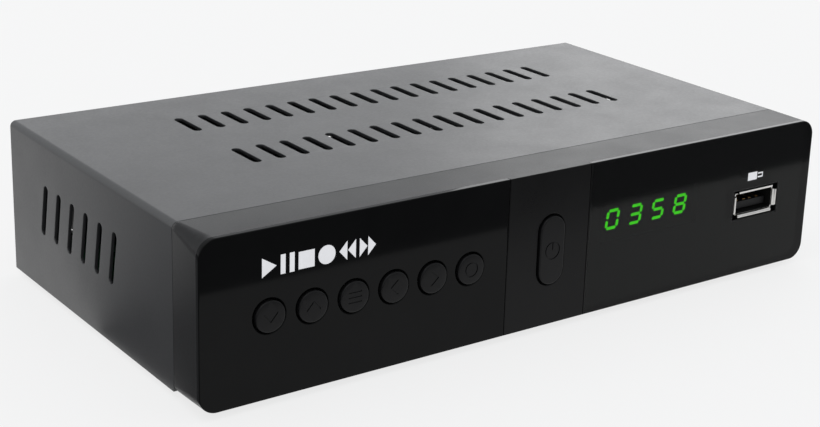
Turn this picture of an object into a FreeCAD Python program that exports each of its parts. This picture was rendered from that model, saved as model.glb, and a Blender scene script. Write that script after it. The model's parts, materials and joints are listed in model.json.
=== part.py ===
import FreeCAD, Part
import math
import os
import re
import Sketcher
from FreeCAD import Rotation, Vector

# A small steel-cased television recorder with a moulded front.
#
# Millimetres, +Z up, front towards -Y. Every piece is drawn from the seam between the steel
# cover and the moulded bezel (y = 0 there) and from the cover's lower edge (z = 0 there), and
# is then seated in the part's frame, whose origin is the middle of the box's footprint.

SIZES = {
    # steel case
    "cover_width": 168.0,
    "cover_depth": 80.4,
    "cover_height": 36.0,
    "sheet_gauge": 0.8,
    "bend_radius": 1.4,
    "case_fit": 0.15,
    "panel_inset": 1.2,
    "tray_start": 0.6,
    "tray_flange": 8.0,
    "foot_height": 1.6,
    "foot_diameter": 10.0,
    "foot_inset": 15.0,
    # ventilation slots
    "vent_width": 2.15,
    "vent_length": 11.25,
    "vent_pitch": 6.09,
    "vent_count": 18,
    "vent_middle": 1.65,
    "vent_row_middle": 44.5,
    "vent_row_pitch": 27.25,
    "side_vent_length": 12.2,
    "side_vent_pitch": 7.0,
    "side_vent_count": 6,
    "side_vent_lean": 2.1,
    "side_vent_middle": 44.6,
    "side_vent_level": 19.6,
    "floor_vent_pitch": 6.5,
    "floor_vent_count": 11,
    "floor_vent_length": 18.0,
    # moulded front
    "bezel_depth": 12.9,
    "bezel_flare": 1.2,
    "bezel_rise": 0.3,
    "front_corner": 4.0,
    "shut_line": 0.12,
    "bezel_wall": 1.8,
    "fascia_gauge": 1.2,
    "front_wall": 1.6,
    "fascia_gap": 0.14,
    "left_seam": -10.5,
    "right_seam": 12.45,
    "tongue_width": 12.0,
    "tongue_gauge": 1.6,
    "tongue_reach": 7.0,
    "tongue_spread": 55.0,
    "hook_drop": 0.7,
    "hook_gauge": 1.0,
    "catch_room": 0.6,
    # keys
    "key_level": 17.9,
    "first_key": -69.7,
    "key_pitch": 9.82,
    "key_diameter": 6.8,
    "key_proud": 0.6,
    "key_gap": 0.22,
    "key_edge": 0.35,
    "power_key_middle": 1.8,
    "power_key_width": 6.9,
    "power_key_height": 16.1,
    "flange_rim": 1.2,
    "flange_gauge": 0.8,
    "flange_gap": 0.06,
    "stem_diameter": 3.6,
    "stem_length": 1.64,
    "mark_depth": 0.15,
    "mark_stroke": 0.3,
    "chevron_stroke": 0.42,
    "chevron_reach": 0.9,
    "chevron_spread": 1.6,
    "bar_length": 3.2,
    "bar_pitch": 1.1,
    "ring_diameter": 3.4,
    "standby_ring": 4.2,
    "standby_stroke": 1.8,
    "standby_level": 1.0,
    "mouth_chamfer": 0.4,
    # switches and the board behind the front
    "board_gauge": 1.6,
    "board_margin": 1.2,
    "switch_side": 6.2,
    "switch_height": 3.6,
    "plunger_diameter": 3.4,
    "plunger_proud": 0.6,
    "plunger_depth": 1.4,
    "plunger_fit": 0.07,
    "plunger_room": 0.9,
    "boss_diameter": 5.0,
    "boss_inset": 5.4,
    "boss_middle": -9.6,
    "boss_low": 7.0,
    "boss_drop": 7.4,
    "thread_diameter": 2.2,
    "small_head": 4.2,
    "small_head_gauge": 1.0,
    "small_screw_length": 6.0,
    # display
    "display_middle": 32.6,
    "display_level": 20.7,
    "display_width": 30.0,
    "display_height": 10.0,
    "display_setback": 1.3,
    "window_gap": 0.4,
    "digit_pitch": 7.1,
    "digit_width": 3.9,
    "digit_height": 4.9,
    "digit_lean": 8.0,
    "segment_width": 0.8,
    "segment_gap": 0.12,
    "segment_gauge": 0.1,
    "receiver_gap": 1.5,
    "receiver_width": 5.0,
    "receiver_depth": 4.0,
    "receiver_height": 6.0,
    "receiver_level": 5.0,
    "dome_diameter": 3.6,
    "dome_proud": 1.2,
    # front USB socket
    "usb_middle": 66.65,
    "usb_level": 17.95,
    "usb_width": 13.1,
    "usb_height": 5.7,
    "usb_gauge": 0.3,
    "usb_lip": 0.65,
    "usb_lip_rise": 0.45,
    "usb_lip_reach": 0.75,
    "usb_lip_relief": 0.7,
    "usb_aperture_gap": 0.3,
    "usb_root": 1.0,
    "usb_tongue_side": 0.7,
    "usb_tongue_gauge": 1.85,
    "usb_tongue_drop": 0.55,
    "usb_tongue_recess": 1.6,
    "usb_outer_contact": 3.5,
    "usb_inner_contact": 1.0,
    "usb_contact_width": 1.0,
    "usb_contact_gauge": 0.2,
    "usb_contact_setback": 0.6,
    # main board and what stands on it
    "main_side_gap": 7.0,
    "main_front_gap": 11.4,
    "main_rear_gap": 1.0,
    "standoff_height": 5.0,
    "standoff_diameter": 5.0,
    "main_hole_inset": 5.0,
    "screw_head": 5.6,
    "screw_head_gauge": 1.8,
    "screw_shank": 2.9,
    "recess_arm": 3.0,
    "recess_slot": 0.7,
    "cover_screw_length": 5.0,
    "board_screw_length": 5.5,
    "hole_gap": 0.3,
    "press_gap": 0.05,
    "processor_left": -12.0,
    "processor_front": 34.0,
    "processor_side": 19.0,
    "chip_gauge": 1.6,
    "cooler_height": 8.0,
    "cooler_floor": 1.5,
    "fin_slot": 1.6,
    "fin_slots": 6,
    "memory_left": 16.0,
    "memory_front": 38.0,
    "memory_pitch": 13.0,
    "memory_width": 9.0,
    "memory_depth": 13.0,
    "memory_gauge": 1.1,
    "firmware_left": -24.0,
    "firmware_front": 22.0,
    "firmware_width": 6.0,
    "firmware_depth": 5.0,
    # flat cable
    "ribbon_middle": -40.0,
    "ribbon_width": 20.0,
    "ribbon_gauge": 0.3,
    "ribbon_rise": 4.0,
    "ribbon_straight": 3.0,
    "header_width": 22.0,
    "header_depth": 2.6,
    "header_height": 2.8,
    "header_inset": 1.0,
    # rear connectors
    "aerial_level": 14.5,
    "jack_diameter": 9.5,
    "jack_reach": 9.0,
    "jack_wall": 1.2,
    "jack_step": 0.45,
    "jack_recess": 1.0,
    "jack_hole": 1.3,
    "jack_hole_depth": 6.0,
    "jack_space": 1.5,
    "nut_rim": 1.3,
    "nut_gauge": 2.0,
    "tuner_gap": 1.5,
    "tuner_rim": 1.0,
    "tuner_depth": 26.0,
    "tuner_height": 15.0,
    "coax_middle": 37.0,
    "coax_diameter": 8.3,
    "coax_reach": 7.5,
    "coax_gauge": 0.6,
    "coax_root": 7.0,
    "coax_recess": 0.4,
    "coax_hole": 3.4,
    "coax_mount_side": 12.0,
    "coax_mount_depth": 3.0,
    "hdmi_middle": 19.5,
    "hdmi_width": 15.0,
    "hdmi_height": 5.6,
    "hdmi_depth": 11.5,
    "hdmi_gauge": 0.5,
    "hdmi_back": 1.0,
    "hdmi_corner": 1.6,
    "hdmi_corner_rise": 1.9,
    "hdmi_tongue_width": 11.2,
    "hdmi_tongue_level": 2.6,
    "hdmi_tongue_gauge": 1.1,
    "hdmi_tongue_recess": 1.5,
    "scart_middle": -22.0,
    "scart_width": 48.0,
    "scart_height": 14.6,
    "scart_depth": 13.0,
    "scart_gauge": 1.0,
    "scart_corner": 5.5,
    "scart_back": 2.0,
    "scart_moat": 1.6,
    "scart_recess": 1.0,
    "scart_slot_width": 1.3,
    "scart_slot_height": 3.2,
    "scart_slot_depth": 6.0,
    "scart_slot_pitch": 3.8,
    "scart_slot_count": 10,
    "scart_lower_slots": 3.6,
    "scart_upper_slots": 7.6,
    "dc_middle": -66.0,
    "dc_width": 9.0,
    "dc_height": 11.0,
    "dc_depth": 14.0,
    "dc_bore": 6.3,
    "dc_back": 3.0,
    "dc_pin_diameter": 2.0,
    "dc_pin_recess": 1.0,
    "socket_proud": 0.7,
    # fixings of the case
    "ear_width": 12.0,
    "ear_drop": 9.0,
    "ear_spread": 50.0,
}

# The bars lit in each digit: a on top, then clockwise to f, with g in the middle.
LIT_BARS = ("abcdef", "abcdg", "acdfg", "abcdefg")

# Power parts on the main board: middle x, middle y, width across and height.
CAPACITORS = (("-60", "30", "10", "14"), ("-60", "44", "10", "14"), ("-46", "26", "8", "11"),
              ("-34", "26", "6.3", "9"), ("34", "22", "6.3", "9"))
COILS = (("-46", "38", "8", "4.5"), ("-34", "36", "8", "4.5"), ("48", "22", "6", "3.2"))

doc = FreeCAD.newDocument("TelevisionRecorder")
sheet = doc.addObject("Spreadsheet::Sheet", "Sizes")
for row, (alias, number) in enumerate(SIZES.items(), start=1):
    sheet.set(f"A{row}", alias)
    sheet.set(f"B{row}", str(number))
    sheet.setAlias(f"B{row}", alias)
doc.recompute()

# Places that several pieces share, as formulas of the sheet's names.
SEAM_Y = "(bezel_depth + key_proud - cover_depth + panel_inset - jack_reach) / 2"
WALL_BACK = "(bezel_depth - fascia_gauge - front_wall)"
TRAY_HALF = "(cover_width / 2 - sheet_gauge - case_fit)"
PANEL_FACE = "(cover_depth - panel_inset)"
PANEL_BACK = "(cover_depth - panel_inset - sheet_gauge)"
PANEL_TOP = "(cover_height - sheet_gauge - case_fit)"
EAR_LEVEL = "(cover_height - sheet_gauge - ear_drop / 2)"
MAIN_UNDER = "(sheet_gauge + standoff_height)"
MAIN_TOP = "(sheet_gauge + standoff_height + board_gauge)"
MAIN_HALF = f"({TRAY_HALF} - main_side_gap)"
MAIN_REAR = f"({PANEL_BACK} - main_rear_gap)"
MAIN_FRONT = "main_front_gap"
SOCKET_FACE = f"({PANEL_FACE} + socket_proud)"
BOARD_FACE = f"({WALL_BACK} - flange_gap - flange_gauge - stem_length - plunger_proud - switch_height)"
BOARD_BACK = f"(board_gauge - {BOARD_FACE})"
SWITCH_FACE = f"({BOARD_FACE} + switch_height)"
USB_TONGUE_WIDE = "(usb_width - 2 * usb_gauge - 2 * usb_tongue_side)"
BOSS_SPOTS = [(x, z) for x in ("-(cover_width / 2 - boss_inset)", "boss_middle",
                               "(cover_width / 2 - boss_inset)")
              for z in ("boss_low", "(cover_height - boss_drop)")]
JACK_ROOT = "(jack_diameter + 2 * jack_step)"
NUT_WIDE = f"({JACK_ROOT} + 2 * nut_rim)"
NUT_CORNERS = f"({NUT_WIDE} / cos(30))"
AERIAL_PITCH = f"({NUT_CORNERS} + jack_space)"
TUNER_WIDE = f"({AERIAL_PITCH} + {NUT_WIDE} + 2 * tuner_rim)"
AERIAL_MIDDLE = f"({TRAY_HALF} - sheet_gauge - tuner_gap - {TUNER_WIDE} / 2)"
JACK_MIDDLES = [("input", f"({AERIAL_MIDDLE} + {AERIAL_PITCH} / 2)"),
                ("loop", f"({AERIAL_MIDDLE} - {AERIAL_PITCH} / 2)")]
KEY_NAMES = ("down", "up", "menu", "left", "right", "enter")
TRAVEL_Y = Rotation(Vector(1, 0, 0), -90)
FORWARDS = Rotation(Vector(1, 0, 0), 90)

nodes = []


def named(formula):
    """Point the sheet's names in a formula at the sheet."""
    return re.sub(r"\b([a-z]\w*)\b(?!\()", r"Sizes.\1", str(formula))


def value(formula):
    """The number that a formula gives now."""
    return float(sheet.evalExpression(str(formula)))


def bind(thing, prop, formula):
    """Tie a property to a formula of the sheet's names."""
    thing.setExpression(prop, named(formula))


def seat(thing, middle="0", level="0"):
    """Seat a finished piece in the part's frame."""
    bind(thing, "Placement.Base.x", middle)
    bind(thing, "Placement.Base.y", SEAM_Y)
    bind(thing, "Placement.Base.z", f"foot_height + {level}")
    nodes.append(thing)


# ---------------------------------------------------------------- sketches and features

def new_body(label, middle="0", level="0"):
    """An empty seated body; its own x and z run from the middle and level given."""
    body = doc.addObject("PartDesign::Body", label)
    body.AllowCompound = True
    seat(body, middle, level)
    return body


def origin_item(body, role):
    """The body's own origin plane or axis with that role."""
    return next(item for item in body.Origin.OriginFeatures if item.Role == role)


def sketch_on(body, name, role, offset="0"):
    """A sketch on one of the body's origin planes, moved along that plane's normal."""
    sketch = body.newObject("Sketcher::SketchObject", f"{body.Label}_{name}")
    sketch.AttachmentSupport = (origin_item(body, role), [""])
    sketch.MapMode = "FlatFace"
    bind(sketch, "AttachmentOffset.Base.z", offset)
    return sketch


def sketch_across(body, name, setback="0"):
    """A sketch that faces the front, a setback in front of the seam."""
    return sketch_on(body, name, "XZ_Plane", setback)


def hold(sketch, item, point, spot):
    """Hold one point of a sketch at an (x, y) pair of formulas."""
    for kind, formula in zip(("DistanceX", "DistanceY"), spot):
        rule = Sketcher.Constraint(kind, -1, 1, item, point, value(formula))
        bind(sketch, f"Constraints[{sketch.addConstraint(rule)}]", formula)


def measure(sketch, kind, item, formula):
    """Give one round item its Radius or Diameter."""
    rule = Sketcher.Constraint(kind, item, value(formula))
    bind(sketch, f"Constraints[{sketch.addConstraint(rule)}]", formula)


def outline(sketch, corners):
    """A closed run of straight lines through (x, y) pairs of formulas."""
    first = sketch.GeometryCount
    spots = [Vector(value(x), value(y), 0) for x, y in corners]
    count = len(spots)
    for step in range(count):
        sketch.addGeometry(Part.LineSegment(spots[step], spots[(step + 1) % count]))
    for step in range(count):
        following = first + (step + 1) % count
        sketch.addConstraint(Sketcher.Constraint("Coincident", first + step, 2, following, 1))
        hold(sketch, first + step, 1, corners[step])


def rectangle(sketch, low, high):
    """A rectangle from its low corner to its high corner."""
    outline(sketch, [low, (high[0], low[1]), high, (low[0], high[1])])


def centred_rectangle(sketch, spot, width, height):
    """A rectangle about its middle."""
    low = (f"{spot[0]} - {width} / 2", f"{spot[1]} - {height} / 2")
    high = (f"{spot[0]} + {width} / 2", f"{spot[1]} + {height} / 2")
    rectangle(sketch, low, high)


def circle(sketch, spot, diameter):
    """A full circle."""
    centre = Vector(value(spot[0]), value(spot[1]), 0)
    item = sketch.addGeometry(Part.Circle(centre, Vector(0, 0, 1), value(diameter) / 2))
    hold(sketch, item, 3, spot)
    measure(sketch, "Diameter", item, diameter)


def stadium(sketch, start, finish, width):
    """A slot's outline: two half rounds about the start and finish, joined by straight sides."""
    ends = [Vector(value(x), value(y), 0) for x, y in (start, finish)]
    along = (ends[1] - ends[0]).normalize()
    side = Vector(-along.y, along.x, 0) * (value(width) / 2)
    turn = math.atan2(side.y, side.x)
    first = sketch.GeometryCount
    for centre, begin in zip(ends, (turn, turn + math.pi)):
        ring = Part.Circle(centre, Vector(0, 0, 1), value(width) / 2)
        sketch.addGeometry(Part.ArcOfCircle(ring, begin, begin + math.pi))
    sketch.addGeometry(Part.LineSegment(ends[0] - side, ends[1] - side))
    sketch.addGeometry(Part.LineSegment(ends[1] + side, ends[0] + side))
    for one, two in ((0, 2), (2, 1), (1, 3), (3, 0)):
        sketch.addConstraint(Sketcher.Constraint("Tangent", first + one, 2, first + two, 1))
    sketch.addConstraint(Sketcher.Constraint("Equal", first, first + 1))
    hold(sketch, first, 3, start)
    hold(sketch, first + 1, 3, finish)
    measure(sketch, "Radius", first, f"{width} / 2")


def rounded_rectangle(sketch, low, high, radius):
    """A rectangle with four equal round corners."""
    x0, y0, x1, y1, r = (value(formula) for formula in (*low, *high, radius))
    first = sketch.GeometryCount
    lines = [((x0 + r, y0), (x1 - r, y0)), ((x1, y0 + r), (x1, y1 - r)),
             ((x1 - r, y1), (x0 + r, y1)), ((x0, y1 - r), (x0, y0 + r))]
    centres = [(x1 - r, y0 + r), (x1 - r, y1 - r), (x0 + r, y1 - r), (x0 + r, y0 + r)]
    for quarter in range(4):
        begin, end = (Vector(*spot, 0) for spot in lines[quarter])
        sketch.addGeometry(Part.LineSegment(begin, end))
        ring = Part.Circle(Vector(*centres[quarter], 0), Vector(0, 0, 1), r)
        turn = (quarter - 1) * math.pi / 2
        sketch.addGeometry(Part.ArcOfCircle(ring, turn, turn + math.pi / 2))
    for step in range(8):
        following = first + (step + 1) % 8
        sketch.addConstraint(Sketcher.Constraint("Tangent", first + step, 2, following, 1))
    for step, kind in enumerate(("Horizontal", "Vertical", "Horizontal", "Vertical")):
        sketch.addConstraint(Sketcher.Constraint(kind, first + 2 * step))
    for step in (3, 5, 7):
        sketch.addConstraint(Sketcher.Constraint("Equal", first + 1, first + step))
    measure(sketch, "Radius", first + 1, radius)
    for kind, item, formula in (("DistanceY", 0, low[1]), ("DistanceX", 2, high[0]),
                                ("DistanceY", 4, high[1]), ("DistanceX", 6, low[0])):
        rule = Sketcher.Constraint(kind, -1, 1, first + item, 1, value(formula))
        bind(sketch, f"Constraints[{sketch.addConstraint(rule)}]", formula)


def pad(body, sketch, length, backwards=False):
    """Raise a sketch along its normal, or against it when backwards."""
    feature = body.newObject("PartDesign::Pad", sketch.Name + "_pad")
    feature.Profile = sketch
    feature.Reversed = backwards
    bind(feature, "Length", length)
    return feature


def pocket(body, sketch, length, forwards=False):
    """Cut a sketch against its normal, or along it when forwards."""
    feature = body.newObject("PartDesign::Pocket", sketch.Name + "_pocket")
    feature.Profile = sketch
    feature.Reversed = forwards
    bind(feature, "Length", length)
    return feature


def repeat(body, feature, role, pitch, count, second=None):
    """Repeat a feature along an origin axis, and again along a second (role, pitch, count)."""
    pattern = body.newObject("PartDesign::LinearPattern", feature.Name + "_row")
    pattern.Originals = [feature]
    for suffix, (axis, step, times) in zip(("", "2"), ((role, pitch, count), second)):
        setattr(pattern, "Direction" + suffix, (origin_item(body, axis), [""]))
        bind(pattern, "Length" + suffix, f"{step} * ({times} - 1)")
        bind(pattern, "Occurrences" + suffix, times)
    body.Tip = pattern
    return pattern


def dress(body, kind, size, wanted):
    """Fillet or chamfer the edges that the wanted test picks from the body so far."""
    doc.recompute()
    base = body.Tip
    edges = [f"Edge{n}" for n, edge in enumerate(base.Shape.Edges, start=1) if wanted(edge)]
    feature = body.newObject("PartDesign::" + kind, f"{body.Label}_{kind.lower()}")
    feature.Base = (base, edges)
    bind(feature, "Radius" if kind == "Fillet" else "Size", size)
    return feature


def near(number, formula):
    """Whether a coordinate lies where a formula says."""
    return abs(number - value(formula)) < 1e-4


def lies_across(edge, setback):
    """Whether an edge lies whole in the plane a setback in front of the seam."""
    return near(edge.BoundBox.YMin, f"-({setback})") and near(edge.BoundBox.YMax, f"-({setback})")


# ---------------------------------------------------------------- primitives and booleans

def put(solid, spot):
    """Place a primitive's own corner or centre at (x, y, z) formulas."""
    for axis, formula in zip("xyz", spot):
        bind(solid, f"Placement.Base.{axis}", formula)
    return solid


def block(name, low, size):
    """A rectangular block from its low corner and three sizes."""
    solid = doc.addObject("Part::Box", name)
    for prop, formula in zip(("Length", "Width", "Height"), size):
        bind(solid, prop, formula)
    return put(solid, low)


def rod(name, spot, diameter, length, turn=Rotation()):
    """A cylinder from the centre of its near end, upright unless it is turned."""
    solid = doc.addObject("Part::Cylinder", name)
    bind(solid, "Radius", f"({diameter}) / 2")
    bind(solid, "Height", length)
    solid.Placement.Rotation = turn
    return put(solid, spot)


def cut(name, base, tool):
    """One solid less another."""
    result = doc.addObject("Part::Cut", name)
    result.Base = base
    result.Tool = tool
    return result


def fuse(name, solids):
    """Several touching solids made one."""
    result = doc.addObject("Part::MultiFuse", name)
    result.Shapes = solids
    return result


def piece(label, solids):
    """A seated node of one or more separate solids."""
    group = doc.addObject("Part::Compound", label)
    group.Links = solids
    seat(group)
    return group


# ---------------------------------------------------------------- steel case

def make_top_cover():
    """The folded cover: a top with two sides, slotted, and two ears behind the rear panel."""
    body = new_body("top_cover")
    profile = sketch_across(body, "profile")
    half = "cover_width / 2"
    inner = "cover_width / 2 - sheet_gauge"
    under = "cover_height - sheet_gauge"
    outline(profile, [(f"-({half})", "0"), (f"-({inner})", "0"), (f"-({inner})", under),
                      (inner, under), (inner, "0"), (half, "0"), (half, "cover_height"),
                      (f"-({half})", "cover_height")])
    pad(body, profile, "cover_depth", backwards=True)

    def outer_fold(edge):
        box = edge.BoundBox
        return near(box.ZMin, "cover_height") and near(abs(box.XMin), half) and near(box.XLength, "0")

    def inner_fold(edge):
        box = edge.BoundBox
        return near(box.ZMin, under) and near(abs(box.XMin), inner) and near(box.XLength, "0")

    dress(body, "Fillet", "bend_radius", outer_fold)
    dress(body, "Fillet", "bend_radius - sheet_gauge", inner_fold)

    ear = sketch_across(body, "ears", f"-({PANEL_BACK} - case_fit - sheet_gauge)")
    for side in ("-", "+"):
        middle = f"{side}ear_spread"
        rectangle(ear, (f"{middle} - ear_width / 2", f"{under} - ear_drop"),
                  (f"{middle} + ear_width / 2", f"{under} + sheet_gauge / 2"))
        circle(ear, (middle, EAR_LEVEL), "screw_shank + hole_gap")
    pad(body, ear, "sheet_gauge", backwards=True)

    first_vent = "vent_middle - vent_pitch * (vent_count - 1) / 2"
    row = "vent_row_middle - vent_row_pitch / 2"
    reach = "(vent_length - vent_width) / 2"
    vent = sketch_on(body, "vent", "XY_Plane", "cover_height")
    stadium(vent, (first_vent, f"{row} - {reach}"), (first_vent, f"{row} + {reach}"), "vent_width")
    repeat(body, pocket(body, vent, "2 * sheet_gauge"), "X_Axis", "vent_pitch", "vent_count",
           ("Y_Axis", "vent_row_pitch", "2"))

    first = "side_vent_middle - side_vent_pitch * (side_vent_count - 1) / 2"
    rise = "(side_vent_length - vent_width) / 2"
    slot = sketch_on(body, "side_vent", "YZ_Plane", "cover_width / 2 + sheet_gauge")
    stadium(slot, (f"{first} + side_vent_lean / 2", f"side_vent_level - {rise}"),
            (f"{first} - side_vent_lean / 2", f"side_vent_level + {rise}"), "vent_width")
    repeat(body, pocket(body, slot, "cover_width + 2 * sheet_gauge"), "Y_Axis", "side_vent_pitch",
           "side_vent_count", ("Z_Axis", "1", "1"))


def make_base_chassis():
    """The folded tray with its rear panel, pierced for the connectors and for air."""
    body = new_body("base_chassis")
    profile = sketch_across(body, "profile", "-tray_start")
    inner = f"({TRAY_HALF} - sheet_gauge)"
    outline(profile, [(f"-{TRAY_HALF}", "0"), (TRAY_HALF, "0"), (TRAY_HALF, "tray_flange"),
                      (inner, "tray_flange"), (inner, "sheet_gauge"), (f"-{inner}", "sheet_gauge"),
                      (f"-{inner}", "tray_flange"), (f"-{TRAY_HALF}", "tray_flange")])
    pad(body, profile, f"{PANEL_FACE} - tray_start", backwards=True)
    rear = sketch_across(body, "rear_panel", f"-{PANEL_BACK}")
    shoulder = f"({TRAY_HALF} - bend_radius)"
    outline(rear, [(f"-{TRAY_HALF}", "0"), (TRAY_HALF, "0"), (TRAY_HALF, f"{PANEL_TOP} - bend_radius"),
                   (shoulder, PANEL_TOP), (f"-{shoulder}", PANEL_TOP),
                   (f"-{TRAY_HALF}", f"{PANEL_TOP} - bend_radius")])
    pad(body, rear, "sheet_gauge", backwards=True)

    ports = sketch_across(body, "ports", f"-{PANEL_BACK}")
    centred_rectangle(ports, ("scart_middle", f"{MAIN_TOP} + scart_height / 2"),
                      "(scart_width + 2 * hole_gap)", "(scart_height + 2 * hole_gap)")
    centred_rectangle(ports, ("hdmi_middle", f"{MAIN_TOP} + hdmi_height / 2"),
                      "(hdmi_width + 2 * hole_gap)", "(hdmi_height + 2 * hole_gap)")
    centred_rectangle(ports, ("dc_middle", f"{MAIN_TOP} + dc_height / 2"),
                      "(dc_width + 2 * hole_gap)", "(dc_height + 2 * hole_gap)")
    circle(ports, ("coax_middle", "aerial_level"), "coax_diameter + 2 * hole_gap")
    for _, middle in JACK_MIDDLES:
        circle(ports, (middle, "aerial_level"), f"{JACK_ROOT} + 2 * press_gap")
    for side in ("-", "+"):
        circle(ports, (f"{side}ear_spread", EAR_LEVEL), "screw_shank + hole_gap")
    pocket(body, ports, "sheet_gauge")

    vent = sketch_on(body, "floor_vent", "XY_Plane", "sheet_gauge")
    start = "-floor_vent_pitch * (floor_vent_count - 1) / 2"
    reach = "(floor_vent_length - vent_width) / 2"
    stadium(vent, (start, f"cover_depth / 2 - {reach}"), (start, f"cover_depth / 2 + {reach}"),
            "vent_width")
    repeat(body, pocket(body, vent, "sheet_gauge"), "X_Axis", "floor_vent_pitch",
           "floor_vent_count", ("Y_Axis", "1", "1"))

    catch = sketch_on(body, "catches", "XY_Plane", "sheet_gauge")
    for side in ("-", "+"):
        low = (f"{side}tongue_spread - tongue_width / 2 - hole_gap",
               "tongue_reach - hook_gauge - catch_room")
        high = (f"{side}tongue_spread + tongue_width / 2 + hole_gap", "tongue_reach + hole_gap")
        rectangle(catch, low, high)
    pocket(body, catch, "sheet_gauge")


def make_feet():
    """Four rubber discs near the corners of the tray."""
    body = new_body("rubber_feet")
    first = sketch_on(body, "discs", "XY_Plane", "-foot_height")
    across = "(cover_width / 2 - foot_inset)"
    for x in (f"-{across}", across):
        for y in ("foot_inset", "cover_depth - foot_inset"):
            circle(first, (x, y), "foot_diameter")
    pad(body, first, "foot_height")
    dress(body, "Chamfer", "foot_height / 4", lambda edge: near(edge.BoundBox.ZMax, "-foot_height"))


def pan_screw(name, spot, turn, length):
    """A pan-head screw: head towards its own start, shank beyond it, with a cross recess."""
    head = rod(name + "_head", ("0", "0", "-screw_head_gauge"), "screw_head", "screw_head_gauge")
    shank = rod(name + "_shank", ("0", "0", "0"), "screw_shank", length)
    arms = []
    for turned, (wide, deep) in enumerate((("recess_arm", "recess_slot"), ("recess_slot", "recess_arm"))):
        low = (f"-{wide} / 2", f"-{deep} / 2", "-screw_head_gauge")
        arms.append(block(f"{name}_arm{turned}", low, (wide, deep, "screw_head_gauge / 2")))
    screw = cut(name, fuse(name + "_solid", [head, shank]), fuse(name + "_recess", arms))
    screw.Placement.Rotation = turn
    return put(screw, spot)


def make_cover_screws():
    """Two screws through the rear panel into the cover's ears."""
    screws = []
    for name, side in (("left", "-"), ("right", "+")):
        spot = (f"{side}ear_spread", PANEL_FACE, EAR_LEVEL)
        screws.append(pan_screw(f"cover_screw_{name}", spot, FORWARDS, "cover_screw_length"))
    piece("cover_screws", screws)


# ---------------------------------------------------------------- moulded front

def front_envelope(body):
    """The tapered outside of the whole moulding: small corners at the seam, large in front."""
    seam = sketch_across(body, "seam_section")
    rounded_rectangle(seam, ("-cover_width / 2", "0"), ("cover_width / 2", "cover_height"),
                      "bend_radius")
    front = sketch_across(body, "front_section", "bezel_depth")
    half = "cover_width / 2 + bezel_flare"
    rounded_rectangle(front, (f"-({half})", "0"), (half, "cover_height + bezel_rise"),
                      "front_corner")
    loft = body.newObject("PartDesign::AdditiveLoft", body.Label + "_envelope")
    loft.Profile = seam
    loft.Sections = [front]
    loft.Ruled = True


def clear_slab(body, name, setback, left, right, length, forwards=False):
    """Cut away a slab, from left to right, over the moulding's whole height."""
    sketch = sketch_across(body, name, setback)
    rectangle(sketch, (left, "-5"), (right, "cover_height + 5"))
    pocket(body, sketch, length, forwards)


def front_plate(label, left, right):
    """One of the three plates that share the front face, between two of its seams."""
    body = new_body(label)
    front_envelope(body)
    edge = "(cover_width / 2 + 5)"
    clear_slab(body, "behind", "bezel_depth - fascia_gauge", f"-{edge}", edge, "bezel_depth")
    if left is not None:
        clear_slab(body, "left_of", "bezel_depth", f"-{edge}", left, "fascia_gauge")
    if right is not None:
        clear_slab(body, "right_of", "bezel_depth", right, edge, "fascia_gauge")
    return body


def make_left_fascia():
    """The plate with the six round key holes."""
    body = front_plate("left_fascia", None, "left_seam - fascia_gap / 2")
    hole = sketch_across(body, "key_hole", "bezel_depth")
    circle(hole, ("first_key", "key_level"), "key_diameter + 2 * key_gap")
    row = pocket(body, hole, "fascia_gauge")
    repeat(body, row, "X_Axis", "key_pitch", len(KEY_NAMES), ("Z_Axis", "1", "1"))
    dress(body, "Chamfer", "mouth_chamfer",
          lambda edge: lies_across(edge, "bezel_depth") and edge.BoundBox.XLength < 9
          and near(edge.BoundBox.Center.z, "key_level") and len(edge.Vertexes) == 1)


def make_centre_fascia():
    """The satin plate with the tall power key's hole."""
    body = front_plate("centre_fascia", "left_seam + fascia_gap / 2", "right_seam - fascia_gap / 2")
    hole = sketch_across(body, "power_hole", "bezel_depth")
    power_stadium(hole, "power_key_middle", "key_level", "key_gap")
    pocket(body, hole, "fascia_gauge")
    left_side = "left_seam + fascia_gap"
    right_side = "right_seam - fascia_gap"
    dress(body, "Chamfer", "mouth_chamfer",
          lambda edge: lies_across(edge, "bezel_depth")
          and value(left_side) < edge.BoundBox.XMin and edge.BoundBox.XMax < value(right_side))


def power_stadium(sketch, middle, level, margin):
    """The power key's outline with a margin all round."""
    reach = "(power_key_height - power_key_width) / 2"
    stadium(sketch, (middle, f"{level} - {reach}"), (middle, f"{level} + {reach}"),
            f"(power_key_width + 2 * {margin})")


def make_display_lens():
    """The smoked plate over the display, pierced for the USB socket."""
    body = front_plate("display_lens", "right_seam + fascia_gap / 2", None)
    usb_aperture(body, "bezel_depth", "fascia_gauge")


def usb_aperture(body, setback, depth):
    """The opening round the USB socket's flared lips."""
    wide = "(usb_width + 2 * usb_lip + 2 * usb_aperture_gap)"
    high = "(usb_height + 2 * usb_lip_rise + 2 * usb_aperture_gap)"
    sketch = sketch_across(body, "usb_aperture", setback)
    centred_rectangle(sketch, ("usb_middle", "usb_level"), wide, high)
    pocket(body, sketch, depth)


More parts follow.
